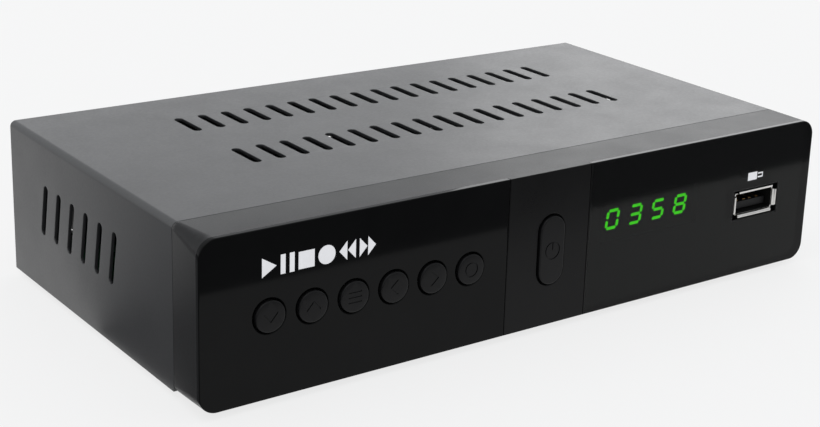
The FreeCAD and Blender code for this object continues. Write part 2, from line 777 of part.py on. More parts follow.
def make_bezel_frame():
    """The moulding behind the plates: four walls, a pierced front wall, bosses and tongues."""
    body = new_body("bezel_frame")
    front_envelope(body)
    edge = "(cover_width / 2 + 5)"
    clear_slab(body, "plate_seat", "bezel_depth", f"-{edge}", edge, "fascia_gauge")
    clear_slab(body, "shut_line", "0", f"-{edge}", edge, "shut_line", forwards=True)
    cavity = sketch_across(body, "cavity")
    rectangle(cavity, ("-cover_width / 2 + bezel_wall", "bezel_wall"),
              ("cover_width / 2 - bezel_wall", "cover_height - bezel_wall"))
    pocket(body, cavity, WALL_BACK, forwards=True)

    boss = sketch_across(body, "bosses", WALL_BACK)
    for spot in BOSS_SPOTS:
        circle(boss, spot, "boss_diameter")
        circle(boss, spot, "thread_diameter")
    pad(body, boss, f"{WALL_BACK} - {BOARD_FACE}", backwards=True)

    for end, low in (("upper", f"{PANEL_TOP} - tongue_gauge"), ("lower", "sheet_gauge + case_fit")):
        tongue = sketch_across(body, f"{end}_tongues", "bezel_wall")
        for side in ("-", "+"):
            rectangle(tongue, (f"{side}tongue_spread - tongue_width / 2", low),
                      (f"{side}tongue_spread + tongue_width / 2", f"{low} + tongue_gauge"))
        pad(body, tongue, "bezel_wall + tongue_reach", backwards=True)
    root = sketch_across(body, "tongue_roots", "2 * bezel_wall")
    for side in ("-", "+"):
        for low, high in (("bezel_wall / 2", "sheet_gauge + case_fit + tongue_gauge"),
                          (f"{PANEL_TOP} - tongue_gauge", "cover_height - bezel_wall / 2")):
            rectangle(root, (f"{side}tongue_spread - tongue_width / 2", low),
                      (f"{side}tongue_spread + tongue_width / 2", high))
    pad(body, root, "2 * bezel_wall - shut_line", backwards=True)
    hook = sketch_across(body, "hooks", "-(tongue_reach - hook_gauge)")
    for side in ("-", "+"):
        low = (f"{side}tongue_spread - tongue_width / 2", "sheet_gauge + case_fit - hook_drop")
        high = (f"{side}tongue_spread + tongue_width / 2", "sheet_gauge + case_fit + tongue_gauge / 2")
        rectangle(hook, low, high)
    pad(body, hook, "hook_gauge", backwards=True)

    holes = sketch_across(body, "wall_holes", "bezel_depth - fascia_gauge")
    power_stadium(holes, "power_key_middle", "key_level", "(key_gap + mouth_chamfer)")
    for number in range(len(KEY_NAMES)):
        circle(holes, (f"first_key + {number} * key_pitch", "key_level"),
               "key_diameter + 2 * key_gap + 2 * mouth_chamfer")
    centred_rectangle(holes, ("display_middle", "display_level"),
                      "(display_width + 2 * window_gap)", "(display_height + 2 * window_gap)")
    pocket(body, holes, "front_wall")
    usb_aperture(body, "bezel_depth - fascia_gauge", "front_wall")


# ---------------------------------------------------------------- keys

def chevron(turn):
    """A pointed stroke of six corners, aimed right and turned by quarter turns."""
    reach, spread, stroke = "chevron_reach", "chevron_spread", "chevron_stroke"
    corners = [(f"-{reach}", spread), (f"-{reach} + {stroke}", spread), (f"{reach} + {stroke}", "0"),
               (f"-{reach} + {stroke}", f"-{spread}"), (f"-{reach}", f"-{spread}"), (reach, "0")]
    for _ in range(turn):
        corners = [(f"-({y})", x) for x, y in corners]
    return corners


def menu_bars(sketch):
    """Three level strokes."""
    for level in ("-bar_pitch", "0", "bar_pitch"):
        centred_rectangle(sketch, ("0", level), "bar_length", "mark_stroke")


def ring_mark(sketch, diameter):
    """A plain ring."""
    circle(sketch, ("0", "0"), diameter)
    circle(sketch, ("0", "0"), f"{diameter} - 2 * mark_stroke")


def key_mark(sketch, name):
    """The shallow symbol in the face of one round key."""
    turns = {"right": 0, "up": 1, "left": 2, "down": 3}
    if name in turns:
        outline(sketch, chevron(turns[name]))
    elif name == "menu":
        menu_bars(sketch)
    else:
        ring_mark(sketch, "ring_diameter")


def key_stack(body, face, rim):
    """A key's cap, the flange that stops it behind the wall, and the stem to its switch."""
    cap = sketch_across(body, "cap", "bezel_depth + key_proud")
    face(cap, "0")
    pad(body, cap, "key_proud + fascia_gauge + front_wall + flange_gap", backwards=True)
    dress(body, "Fillet", "key_edge", lambda edge: lies_across(edge, "bezel_depth + key_proud"))
    flange = sketch_across(body, "flange", f"{WALL_BACK} - flange_gap")
    face(flange, rim)
    pad(body, flange, "flange_gauge", backwards=True)
    stem = sketch_across(body, "stem", f"{WALL_BACK} - flange_gap - flange_gauge / 2")
    circle(stem, ("0", "0"), "stem_diameter")
    pad(body, stem, "flange_gauge / 2 + stem_length", backwards=True)


def make_round_key(number, name):
    """One of the six round keys."""
    body = new_body(f"key_{name}", f"first_key + {number} * key_pitch", "key_level")
    key_stack(body, lambda sketch, rim: circle(sketch, ("0", "0"), f"key_diameter + 2 * {rim}"),
              "flange_rim")
    mark = sketch_across(body, "mark", "bezel_depth + key_proud")
    key_mark(mark, name)
    pocket(body, mark, "mark_depth")


def make_power_key():
    """The tall key with a standby symbol: a broken ring and an upright stroke."""
    body = new_body("power_key", "power_key_middle", "key_level")
    key_stack(body, lambda sketch, rim: power_stadium(sketch, "0", "0", rim), "flange_rim")
    stroke = sketch_across(body, "stroke", "bezel_depth + key_proud")
    centred_rectangle(stroke, ("0", "standby_level"), "mark_stroke", "standby_stroke")
    pocket(body, stroke, "mark_depth")
    ring = sketch_across(body, "ring", "bezel_depth + key_proud")
    ring_mark(ring, "standby_ring")
    pocket(body, ring, "mark_depth")


def make_plunger(name, middle):
    """The moving button of one switch, under a key's stem."""
    body = new_body(f"plunger_{name}", middle, "key_level")
    tip = sketch_across(body, "tip", f"{SWITCH_FACE} + plunger_proud")
    circle(tip, ("0", "0"), "plunger_diameter")
    pad(body, tip, "plunger_proud + plunger_depth", backwards=True)


def make_switches(places):
    """The seven still switch bodies on the front board, each bored for its plunger."""
    bodies = []
    for name, middle in places:
        low = (f"{middle} - switch_side / 2", f"-{SWITCH_FACE}", "key_level - switch_side / 2")
        case = block(f"switch_case_{name}", low, ("switch_side", "switch_height", "switch_side"))
        bore = rod(f"switch_bore_{name}", (middle, f"-{SWITCH_FACE}", "key_level"),
                   "plunger_diameter + 2 * plunger_fit", "plunger_depth + plunger_room", TRAVEL_Y)
        bodies.append(cut(f"switch_{name}", case, bore))
    piece("tact_switch_housings", bodies)


# ---------------------------------------------------------------- front board

def make_front_board():
    """The upright board that carries the switches, the display and the USB socket."""
    body = new_body("front_board")
    half = "(cover_width / 2 - bezel_wall - board_margin)"
    face = sketch_across(body, "face", BOARD_FACE)
    rectangle(face, (f"-{half}", "bezel_wall + board_margin"),
              (half, "cover_height - bezel_wall - 2 * board_margin"))
    for spot in BOSS_SPOTS:
        circle(face, spot, "thread_diameter + hole_gap")
    pad(body, face, "board_gauge", backwards=True)


def make_front_board_screws():
    """Six small screws that hold the front board to the bezel's bosses."""
    screws = []
    for number, (x, z) in enumerate(BOSS_SPOTS):
        name = f"front_screw_{number}"
        head = rod(name + "_head", (x, f"{BOARD_BACK} + small_head_gauge", z), "small_head",
                   "small_head_gauge", FORWARDS)
        shank = rod(name + "_shank", (x, BOARD_BACK, z), "thread_diameter - 2 * press_gap",
                    "small_screw_length", FORWARDS)
        screws.append(fuse(name, [head, shank]))
    piece("front_board_screws", screws)


def make_display():
    """The display's housing and its seven-segment bars, leaning to the right."""
    setback = f"({WALL_BACK} + front_wall - display_setback)"
    low = ("display_middle - display_width / 2", f"-{setback}", "display_level - display_height / 2")
    housing = block("display_block", low,
                    ("display_width", f"{setback} - {BOARD_FACE}", "display_height"))
    piece("display_housing", [housing])

    lit, unlit = [], []
    for digit, wanted in enumerate(LIT_BARS):
        middle = f"display_middle + digit_pitch * ({digit} - {len(LIT_BARS) - 1} / 2)"
        for bar in "abcdefg":
            solid = segment(f"segment_{digit}{bar}", bar, middle, f"-{setback}")
            (lit if bar in wanted else unlit).append(solid)
    piece("lit_segments", lit)
    piece("unlit_segments", unlit)


def segment(name, bar, middle, face):
    """One bar of a digit, as a leaning block that stands just proud of the display's face."""
    half, tall, wide = "(digit_width / 2)", "(digit_height / 2)", "segment_width"
    levels = {"a": f"{tall} - {wide}", "g": f"-{wide} / 2", "d": f"-{tall}"}
    if bar in levels:
        left, right = f"-{half} + {wide} + segment_gap", f"{half} - {wide} - segment_gap"
        bottom, top = levels[bar], f"{levels[bar]} + {wide}"
    else:
        left, right = (f"{half} - {wide}", half) if bar in "bc" else (f"-{half}", f"-{half} + {wide}")
        bottom, top = ("segment_gap", tall) if bar in "bf" else (f"-{tall}", "-segment_gap")
    solid = doc.addObject("Part::Wedge", name)
    bind(solid, "Ymin", bottom)
    bind(solid, "Ymax", top)
    for prefix, height in (("X", bottom), ("X2", top)):
        bind(solid, prefix + "min", f"{left} + ({height}) * tan(digit_lean)")
        bind(solid, prefix + "max", f"{right} + ({height}) * tan(digit_lean)")
    for prop in ("Zmin", "Z2min"):
        bind(solid, prop, "0")
    for prop in ("Zmax", "Z2max"):
        bind(solid, prop, "segment_gauge")
    solid.Placement.Rotation = Rotation(Vector(1, 0, 0), 90)
    return put(solid, (middle, face, "display_level"))


def make_infrared_receiver():
    """The remote control's receiver, behind the smoked plate beside the display."""
    middle = "(display_middle - display_width / 2 - receiver_gap - receiver_width / 2)"
    face = f"({BOARD_FACE} + receiver_depth)"
    case = block("infrared_case", (f"{middle} - receiver_width / 2", f"-{face}", "receiver_level"),
                 ("receiver_width", "receiver_depth", "receiver_height"))
    tip = (middle, f"-({face} + dome_proud)", "receiver_level + receiver_height / 2")
    dome = rod("infrared_dome", tip, "dome_diameter", "2 * dome_proud", TRAVEL_Y)
    piece("infrared_receiver", [fuse("infrared_body", [case, dome])])


def make_usb_socket():
    """The front USB socket: a steel shell with four flared lips, a tongue and four contacts."""
    half_wide, half_high = "usb_width / 2", "usb_height / 2"
    front = "(bezel_depth - usb_lip_reach)"
    long = f"({front} - {BOARD_FACE})"
    outer = block("usb_outer", (f"usb_middle - {half_wide}", f"-{front}", f"usb_level - {half_high}"),
                  ("usb_width", long, "usb_height"))
    inner = block("usb_inner", (f"usb_middle - {half_wide} + usb_gauge", f"-{front}",
                                f"usb_level - {half_high} + usb_gauge"),
                  ("usb_width - 2 * usb_gauge", f"{long} - usb_root", "usb_height - 2 * usb_gauge"))
    lips = []
    for name, turn, reach, side, flare in (("upper", 0, half_high, "usb_width", "usb_lip_rise"),
                                           ("lower", 180, half_high, "usb_width", "usb_lip_rise"),
                                           ("left", -90, half_wide, "usb_height", "usb_lip"),
                                           ("right", 90, half_wide, "usb_height", "usb_lip")):
        lip = doc.addObject("Part::Wedge", f"usb_lip_{name}")
        bind(lip, "Ymin", "-usb_lip_reach")
        bind(lip, "Ymax", "usb_gauge")
        for prefix in ("X", "X2"):
            bind(lip, prefix + "min", f"usb_lip_relief - {side} / 2")
            bind(lip, prefix + "max", f"{side} / 2 - usb_lip_relief")
        bind(lip, "Zmin", f"{reach} - usb_gauge + {flare}")
        bind(lip, "Zmax", f"{reach} + {flare}")
        bind(lip, "Z2min", f"{reach} - usb_gauge")
        bind(lip, "Z2max", reach)
        lip.Placement.Rotation = Rotation(Vector(0, 1, 0), turn)
        lips.append(put(lip, ("usb_middle", f"-{front}", "usb_level")))
    piece("usb_shell", [fuse("usb_shell_solid", [cut("usb_tube", outer, inner)] + lips)])

    floor = f"usb_level - {half_high} + usb_gauge + usb_tongue_drop"
    tip = f"-({front} - usb_tongue_recess)"
    length = f"({long} - usb_tongue_recess - usb_root)"
    tongue = block("usb_tongue_bar", (f"usb_middle - {USB_TONGUE_WIDE} / 2", tip, floor),
                   (USB_TONGUE_WIDE, length, "usb_tongue_gauge"))
    piece("usb_tongue", [tongue])
    contacts = []
    for number, offset in enumerate(("-usb_outer_contact", "-usb_inner_contact",
                                     "+usb_inner_contact", "+usb_outer_contact")):
        low = (f"usb_middle {offset} - usb_contact_width / 2", f"{tip} + usb_contact_setback",
               f"{floor} + usb_tongue_gauge")
        size = ("usb_contact_width", f"{length} - usb_contact_setback", "usb_contact_gauge")
        contacts.append(block(f"usb_contact_{number}", low, size))
    piece("usb_contacts", contacts)


def make_ribbon():
    """The flat cable from the front board to the main board, and a socket at each end."""
    left = "ribbon_middle - header_width / 2"
    upper = f"({MAIN_TOP} + ribbon_rise)"
    lower = f"({MAIN_TOP} + header_height / 2)"
    front_socket = block("front_ribbon_socket", (left, BOARD_BACK, f"{upper} - header_height / 2"),
                         ("header_width", "header_depth", "header_height"))
    main_socket = block("main_ribbon_socket", (left, f"{MAIN_FRONT} + header_inset", MAIN_TOP),
                        ("header_width", "header_depth", "header_height"))
    piece("ribbon_sockets", [front_socket, main_socket])
    body = new_body("front_ribbon", "ribbon_middle - ribbon_width / 2")
    side = sketch_on(body, "side", "YZ_Plane")
    start, end = f"({BOARD_BACK} + header_depth)", f"({MAIN_FRONT} + header_inset)"
    outline(side, [(start, upper), (f"{start} + ribbon_straight", upper),
                   (f"{end} - ribbon_straight", lower), (end, lower),
                   (end, f"{lower} + ribbon_gauge"),
                   (f"{end} - ribbon_straight + ribbon_gauge / 2", f"{lower} + ribbon_gauge"),
                   (f"{start} + ribbon_straight + ribbon_gauge / 2", f"{upper} + ribbon_gauge"),
                   (start, f"{upper} + ribbon_gauge")])
    pad(body, side, "ribbon_width")


# ---------------------------------------------------------------- main board

def main_corners():
    """The four places where the main board is held."""
    side = f"({MAIN_HALF} - main_hole_inset)"
    return [(x, y) for x in (f"-{side}", side)
            for y in (f"{MAIN_FRONT} + main_hole_inset",
                      f"{MAIN_REAR} - tuner_depth - main_hole_inset")]


def make_main_board():
    """The level board, its four pillars and their screws."""
    body = new_body("main_board")
    face = sketch_on(body, "face", "XY_Plane", MAIN_UNDER)
    rectangle(face, (f"-{MAIN_HALF}", MAIN_FRONT), (MAIN_HALF, MAIN_REAR))
    for spot in main_corners():
        circle(face, spot, "screw_shank + hole_gap")
    pad(body, face, "board_gauge")

    pillars = new_body("board_standoffs")
    rings = sketch_on(pillars, "rings", "XY_Plane", "sheet_gauge")
    for spot in main_corners():
        circle(rings, spot, "standoff_diameter")
        circle(rings, spot, "screw_shank + 2 * press_gap")
    pad(pillars, rings, "standoff_height")

    upside_down = Rotation(Vector(1, 0, 0), 180)
    screws = [pan_screw(f"board_screw_{number}", (*spot, MAIN_TOP), upside_down, "board_screw_length")
              for number, spot in enumerate(main_corners())]
    piece("board_screws", screws)


def make_chips():
    """The processor under its finned cooler, two memory chips and the power parts."""
    corner = ("processor_left", "processor_front", MAIN_TOP)
    piece("processor", [block("processor_block", corner,
                              ("processor_side", "processor_side", "chip_gauge"))])
    cooler = new_body("processor_cooler", "processor_left")
    foot = sketch_on(cooler, "foot", "XY_Plane", f"{MAIN_TOP} + chip_gauge")
    rear = "processor_front + processor_side"
    rectangle(foot, ("0", "processor_front"), ("processor_side", rear))
    pad(cooler, foot, "cooler_height")
    groove = sketch_on(cooler, "groove", "XY_Plane", f"{MAIN_TOP} + chip_gauge + cooler_height")
    fin = "(processor_side - fin_slots * fin_slot) / (fin_slots + 1)"
    rectangle(groove, (fin, "processor_front - 1"), (f"{fin} + fin_slot", f"{rear} + 1"))
    channel = pocket(cooler, groove, "cooler_height - cooler_floor")
    repeat(cooler, channel, "X_Axis", f"({fin} + fin_slot)", "fin_slots", ("Y_Axis", "1", "1"))

    memory = []
    for number in range(2):
        low = (f"memory_left + {number} * memory_pitch", "memory_front", MAIN_TOP)
        memory.append(block(f"memory_{number}", low, ("memory_width", "memory_depth", "memory_gauge")))
    piece("memory_chips", memory)
    firmware = block("firmware_block", ("firmware_left", "firmware_front", MAIN_TOP),
                     ("firmware_width", "firmware_depth", "chip_gauge"))
    piece("firmware_chip", [firmware])
    cans = [rod(f"capacitor_{number}", (x, y, MAIN_TOP), wide, tall)
            for number, (x, y, wide, tall) in enumerate(CAPACITORS)]
    piece("capacitors", cans)
    coils = [block(f"coil_{number}", (f"{x} - {side} / 2", f"{y} - {side} / 2", MAIN_TOP),
                   (side, side, tall)) for number, (x, y, side, tall) in enumerate(COILS)]
    piece("power_coils", coils)


def make_aerial_jacks():
    """The screened tuner with its two aerial jacks, stepped barrels held by nuts."""
    low = (f"{AERIAL_MIDDLE} - {TUNER_WIDE} / 2", f"{MAIN_REAR} - tuner_depth", MAIN_TOP)
    can = block("tuner_box", low, (TUNER_WIDE, "tuner_depth", "tuner_height"))
    piece("tuner_can", [can])
    end = f"({PANEL_FACE} + jack_reach)"
    fillings, nuts = [], []
    for name, middle in JACK_MIDDLES:
        spot = (middle, MAIN_REAR, "aerial_level")
        barrel = rod(f"{name}_barrel", spot, "jack_diameter", f"{end} - {MAIN_REAR}", TRAVEL_Y)
        root = rod(f"{name}_root", spot, JACK_ROOT, f"{PANEL_FACE} + nut_gauge - {MAIN_REAR}",
                   TRAVEL_Y)
        hollow = rod(f"{name}_hollow", spot, "jack_diameter - 2 * jack_wall",
                     f"{end} - {MAIN_REAR}", TRAVEL_Y)
        stepped = fuse(f"{name}_stepped", [root, barrel])
        piece(f"aerial_{name}_jack", [cut(f"{name}_jack_solid", stepped, hollow)])

        plug = rod(f"{name}_plug", spot, "jack_diameter - 2 * jack_wall - 2 * press_gap",
                   f"{end} - jack_recess - {MAIN_REAR}", TRAVEL_Y)
        hole = rod(f"{name}_hole", (middle, f"{end} - jack_recess - jack_hole_depth", "aerial_level"),
                   "jack_hole", "jack_hole_depth", TRAVEL_Y)
        fillings.append(cut(f"{name}_filling", plug, hole))

        nut = doc.addObject("Part::Prism", f"{name}_nut_solid")
        nut.Polygon = 6
        bind(nut, "Circumradius", f"{NUT_CORNERS} / 2")
        bind(nut, "Height", "nut_gauge")
        nut.Placement.Rotation = TRAVEL_Y
        put(nut, (middle, PANEL_FACE, "aerial_level"))
        thread = rod(f"{name}_nut_hollow", (middle, PANEL_FACE, "aerial_level"),
                     f"{JACK_ROOT} + 2 * press_gap", "nut_gauge", TRAVEL_Y)
        nuts.append(cut(f"{name}_nut", nut, thread))
    piece("jack_insulators", fillings)
    piece("jack_nuts", nuts)


def make_coax_socket():
    """The digital sound socket: a coloured insulator inside a plated sleeve."""
    start = f"({PANEL_BACK} - coax_root)"
    end = f"({PANEL_FACE} + coax_reach)"
    wall = rod("coax_wall", ("coax_middle", start, "aerial_level"), "coax_diameter", f"{end} - {start}",
               TRAVEL_Y)
    inside = rod("coax_inside", ("coax_middle", start, "aerial_level"), "coax_diameter - 2 * coax_gauge",
                 f"{end} - {start}", TRAVEL_Y)
    piece("coax_sleeve", [cut("coax_tube", wall, inside)])
    core = rod("coax_core", ("coax_middle", start, "aerial_level"),
               "coax_diameter - 2 * coax_gauge - 2 * press_gap", f"{end} - coax_recess - {start}",
               TRAVEL_Y)
    hole = rod("coax_bore", ("coax_middle", PANEL_BACK, "aerial_level"), "coax_hole",
               f"{end} - {PANEL_BACK}", TRAVEL_Y)
    piece("coax_insulator", [cut("coax_filling", core, hole)])
    low = ("coax_middle - coax_mount_side / 2", f"{start} - coax_mount_depth", MAIN_TOP)
    mount = block("coax_mount_block", low, ("coax_mount_side", "coax_mount_depth", "coax_mount_side"))
    piece("coax_mount", [mount])


def make_hdmi_socket():
    """The picture socket: a thin shell with cut lower corners, and its tongue."""
    body = new_body("hdmi_shell", "hdmi_middle", MAIN_TOP)

    def section(name, inset):
        sketch = sketch_across(body, name, f"-{SOCKET_FACE}")
        half = f"(hdmi_width / 2 - {inset})"
        top = f"hdmi_height - {inset}"
        outline(sketch, [(f"-{half} + hdmi_corner", inset), (f"{half} - hdmi_corner", inset),
                         (half, "hdmi_corner_rise"), (half, top), (f"-{half}", top),
                         (f"-{half}", "hdmi_corner_rise")])
        return sketch

    pad(body, section("outside", "0"), "hdmi_depth")
    pocket(body, section("inside", "hdmi_gauge"), "hdmi_depth - hdmi_back", forwards=True)
    low = ("hdmi_middle - hdmi_tongue_width / 2", f"{SOCKET_FACE} - hdmi_depth + hdmi_back",
           f"{MAIN_TOP} + hdmi_tongue_level")
    tongue = block("hdmi_bar", low, ("hdmi_tongue_width", "hdmi_depth - hdmi_back - hdmi_tongue_recess",
                                     "hdmi_tongue_gauge"))
    piece("hdmi_tongue", [tongue])


def make_scart_socket():
    """The wide 21-way socket: a shell with one cut corner, and the slotted block inside it."""
    shell = new_body("scart_shell", "scart_middle", MAIN_TOP)
    core = new_body("scart_block", "scart_middle", MAIN_TOP)

    def section(body, name, setback, inset, corner):
        sketch = sketch_across(body, name, setback)
        half = f"(scart_width / 2 - {inset})"
        top = f"(scart_height - {inset})"
        outline(sketch, [(f"-{half}", inset), (half, inset), (half, f"{top} - {corner}"),
                         (f"{half} - {corner}", top), (f"-{half}", top)])
        return sketch

    pad(shell, section(shell, "outside", f"-{SOCKET_FACE}", "0", "scart_corner"), "scart_depth")
    inside = section(shell, "inside", f"-{SOCKET_FACE}", "scart_gauge", "scart_corner")
    pocket(shell, inside, "scart_depth - scart_back", forwards=True)
    root = section(core, "root", f"-({SOCKET_FACE} - scart_depth + scart_back)",
                   "(scart_gauge + scart_moat)", "(scart_corner - scart_moat / 2)")
    pad(core, root, "scart_depth - scart_back - scart_recess", backwards=True)
    reach = "(scart_slot_pitch * (scart_slot_count - 1) + scart_slot_width) / 2"
    for row, (level, shift) in enumerate((("scart_lower_slots", "+"), ("scart_upper_slots", "-"))):
        start = f"(-{reach} {shift} scart_slot_pitch / 4)"
        slot = sketch_across(core, f"slots_{row}", f"-({SOCKET_FACE} - scart_recess)")
        rectangle(slot, (start, level), (f"{start} + scart_slot_width", f"{level} + scart_slot_height"))
        cavity = pocket(core, slot, "scart_slot_depth", forwards=True)
        repeat(core, cavity, "X_Axis", "scart_slot_pitch", "scart_slot_count", ("Z_Axis", "1", "1"))


def make_dc_socket():
    """The supply socket: a block bored for a barrel plug, and its centre pin."""
    case = block("dc_case", ("dc_middle - dc_width / 2", f"{SOCKET_FACE} - dc_depth", MAIN_TOP),
                 ("dc_width", "dc_depth", "dc_height"))
    root = ("dc_middle", f"{SOCKET_FACE} - dc_depth + dc_back", f"{MAIN_TOP} + dc_height / 2")
    bore = rod("dc_hollow", root, "dc_bore", "dc_depth - dc_back", TRAVEL_Y)
    piece("dc_housing", [cut("dc_shell", case, bore)])
    pin = rod("dc_pin_rod", root, "dc_pin_diameter", "dc_depth - dc_back - dc_pin_recess", TRAVEL_Y)
    piece("dc_pin", [pin])


# ---------------------------------------------------------------- build, check and write

def check_document():
    """Stop at the first failed feature, idle cut or bad solid."""
    for thing in doc.Objects:
        if {"Invalid", "Error"} & set(thing.State):
            raise RuntimeError(f"{thing.Label} failed: {thing.State}")
        if thing.TypeId == "PartDesign::Pocket":
            if thing.Shape.Volume > thing.BaseFeature.Shape.Volume - 1e-4:
                raise RuntimeError(f"{thing.Label} cuts nothing")
    for node in nodes:
        shape = node.Shape
        if shape.isNull() or not shape.isValid() or not shape.Solids:
            raise RuntimeError(f"{node.Label} has no valid solid")


def write_nodes():
    """Write each node's solids to its own file."""
    os.makedirs("parts", exist_ok=True)
    for node in nodes:
        node.Shape.exportStep(f"parts/{node.Label}.step")
        print(f"{node.Label}: {len(node.Shape.Solids)} solid(s), {node.Shape.Volume:.1f} mm3")


make_top_cover()
make_base_chassis()
make_feet()
make_cover_screws()
make_bezel_frame()
make_left_fascia()
make_centre_fascia()
make_display_lens()
switch_places = [(name, f"first_key + {number} * key_pitch") for number, name in enumerate(KEY_NAMES)]
for key_number, key_name in enumerate(KEY_NAMES):
    make_round_key(key_number, key_name)
make_power_key()
switch_places.append(("power", "power_key_middle"))
for key_name, key_middle in switch_places:
    make_plunger(key_name, key_middle)
make_switches(switch_places)
make_front_board()
make_front_board_screws()
make_display()
make_infrared_receiver()
make_usb_socket()
make_ribbon()
make_main_board()
make_chips()
make_aerial_jacks()
make_coax_socket()
make_hdmi_socket()
make_scart_socket()
make_dc_socket()
doc.recompute()
check_document()
write_nodes()
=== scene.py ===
import json
import math

import bmesh
import bpy
import numpy as np
from mathutils import Matrix, Vector


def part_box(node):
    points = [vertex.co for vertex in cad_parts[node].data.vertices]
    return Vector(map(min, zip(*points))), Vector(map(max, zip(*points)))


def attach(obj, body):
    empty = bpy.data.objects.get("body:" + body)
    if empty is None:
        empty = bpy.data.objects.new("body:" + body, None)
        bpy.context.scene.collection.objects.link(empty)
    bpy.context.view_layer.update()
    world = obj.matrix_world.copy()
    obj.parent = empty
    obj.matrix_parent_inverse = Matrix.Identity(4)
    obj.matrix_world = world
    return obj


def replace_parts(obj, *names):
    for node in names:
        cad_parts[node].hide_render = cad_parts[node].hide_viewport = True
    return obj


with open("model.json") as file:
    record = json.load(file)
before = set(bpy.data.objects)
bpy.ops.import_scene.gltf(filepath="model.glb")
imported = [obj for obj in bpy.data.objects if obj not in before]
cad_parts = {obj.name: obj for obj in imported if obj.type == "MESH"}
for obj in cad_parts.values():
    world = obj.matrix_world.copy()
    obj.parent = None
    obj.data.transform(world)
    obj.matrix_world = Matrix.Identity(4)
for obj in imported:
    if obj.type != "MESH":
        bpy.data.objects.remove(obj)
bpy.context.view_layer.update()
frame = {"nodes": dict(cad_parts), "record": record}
NODES = frame["nodes"]
NODE_BODY = {node: body for body, members in frame["record"]["behaviour"]["bodies"].items()
             for node in members}
NODE_SLOT = {row["node"]: row["material_slot"] for row in frame["record"]["subparts"]}
MM = 0.001

# The frame's main places, in metres.
COVER_LOW, COVER_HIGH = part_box("top_cover")
PLATE_LOW, PLATE_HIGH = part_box("left_fascia")
LENS_LOW, LENS_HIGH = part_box("display_lens")
SEAM_Y = COVER_LOW.y
FRONT_Y = PLATE_LOW.y
PLATE_BACK_Y = PLATE_HIGH.y

# Steel cover and front plates.
BEND_RADIUS = 1.4 * MM
FRONT_CORNER = 4.0 * MM
SHEET_GAUGE = 0.8 * MM
EDGE = 0.12 * MM
PLATE_EDGE = 1.6 * EDGE
MOUTH_EDGE = 0.8 * EDGE
MOUTH_CHAMFER = 0.2 * MM
LENS_CHAMFER = 0.1 * MM
FLAT_RIM = 0.15 * MM
GLUE_LAYER = 0.03 * MM
WINDOW_HALF = (15.2 * MM, 5.2 * MM)
WINDOW_CORNER = 0.5 * MM

# Keys and printed signs.
KEY_SHANK = 2.86 * MM
KEY_EDGE = 0.35 * MM
KEY_RIM = 1.2 * MM
KEY_FLANGE = 0.8 * MM
STEM_RADIUS = 1.8 * MM
MARK_DEPTH = 0.15 * MM
INK = 0.012 * MM

# Edges of the dark card that the front and the left side mirror.
CARD_EDGE = -107.7 * MM
CARD_SIDE = -85.6 * MM
CARD_END = 480.0 * MM
CARD_LIFT = 0.5 * MM

# Rear barrels and sleeve.
THREAD_LENGTH = 7.0 * MM
THREAD_PITCH = 0.8 * MM
THREAD_DEPTH = 0.3 * MM
THREAD_LAND = 0.1 * MM
THREAD_FLANK = 0.3 * MM
THREAD_LEAD = 0.2 * MM
THREAD_RUNOUT = 0.9 * MM
BARREL_RADIUS = 4.75 * MM
BARREL_BORE = 3.55 * MM
BARREL_NOSE = (0.4 * MM, 0.3 * MM)
SLEEVE_WALL = 0.6 * MM

# Display, signs and front socket, in millimetres.
LIT_BARS = ("abcdef", "abcdg", "acdfg", "abcdefg")
DISPLAY_MIDDLE = 32.6
DISPLAY_LEVEL = 20.7
DIGIT_PITCH = 7.1
DIGIT_WIDTH = 3.9
DIGIT_HEIGHT = 4.9
DIGIT_LEAN = 8.0
BAR_WIDTH = 0.7
BAR_GAP = 0.2
BAR_POINT = 0.55
SIGN_HEIGHT = 4.1
SIGN_LEFT = -71.4
SIGN_LEVEL = 26.15
SIGN_SPACE = 0.22
USB_WIDTH = 13.1
USB_HEIGHT = 5.7
USB_LIP_REACH = 0.75
USB_FLARE = 0.65
USB_RISE = 0.45
USB_GAUGE = 0.3
USB_ROOT = 1.0
USB_LIP_RELIEF = 0.7


# ------------------------------------------------------------------ outlines

def plane_loops(node, axis, level):
    """Outlines of a CAD node's flat faces in one plane, largest first, as arrays of two columns."""
    mesh = NODES[node].data
    spots = np.array([vertex.co for vertex in mesh.vertices])
    flat = np.abs(spots[:, axis] - level) < 2e-6
    kept = [column for column in range(3) if column != axis]
    keys = [tuple(np.round(spot[kept] * 1e6).astype(int)) for spot in spots]
    place = {key: spot[kept] for key, spot in zip(keys, spots)}
    steps = set()
    for face in mesh.polygons:
        if all(flat[index] for index in face.vertices):
            corners = [keys[index] for index in face.vertices]
            steps.update(zip(corners, corners[1:] + corners[:1]))
    following = {}
    for start, end in sorted(steps):
        if (end, start) not in steps:
            following.setdefault(start, []).append(end)
    loops = []
    while any(following.values()):
        start = next(key for key in following if following[key])
        loop, here = [], start
        while following.get(here):
            loop.append(place[here])
            here = following[here].pop()
        loops.append(np.array(loop))
    return sorted(loops, key=lambda loop: -abs(area(loop)))


def area(loop):
    """Signed area of a closed outline."""
    x, y = loop[:, 0], loop[:, 1]
    return 0.5 * float(np.sum(x * np.roll(y, -1) - np.roll(x, -1) * y))


def wound(loop):
    """The outline run counter-clockwise."""
    return loop if area(loop) > 0 else loop[::-1]


def circle(centre, radius, steps=64):
    """A round outline."""
    turns = np.arange(steps) * 2 * math.pi / steps
    return np.array(centre) + radius * np.column_stack((np.cos(turns), np.sin(turns)))


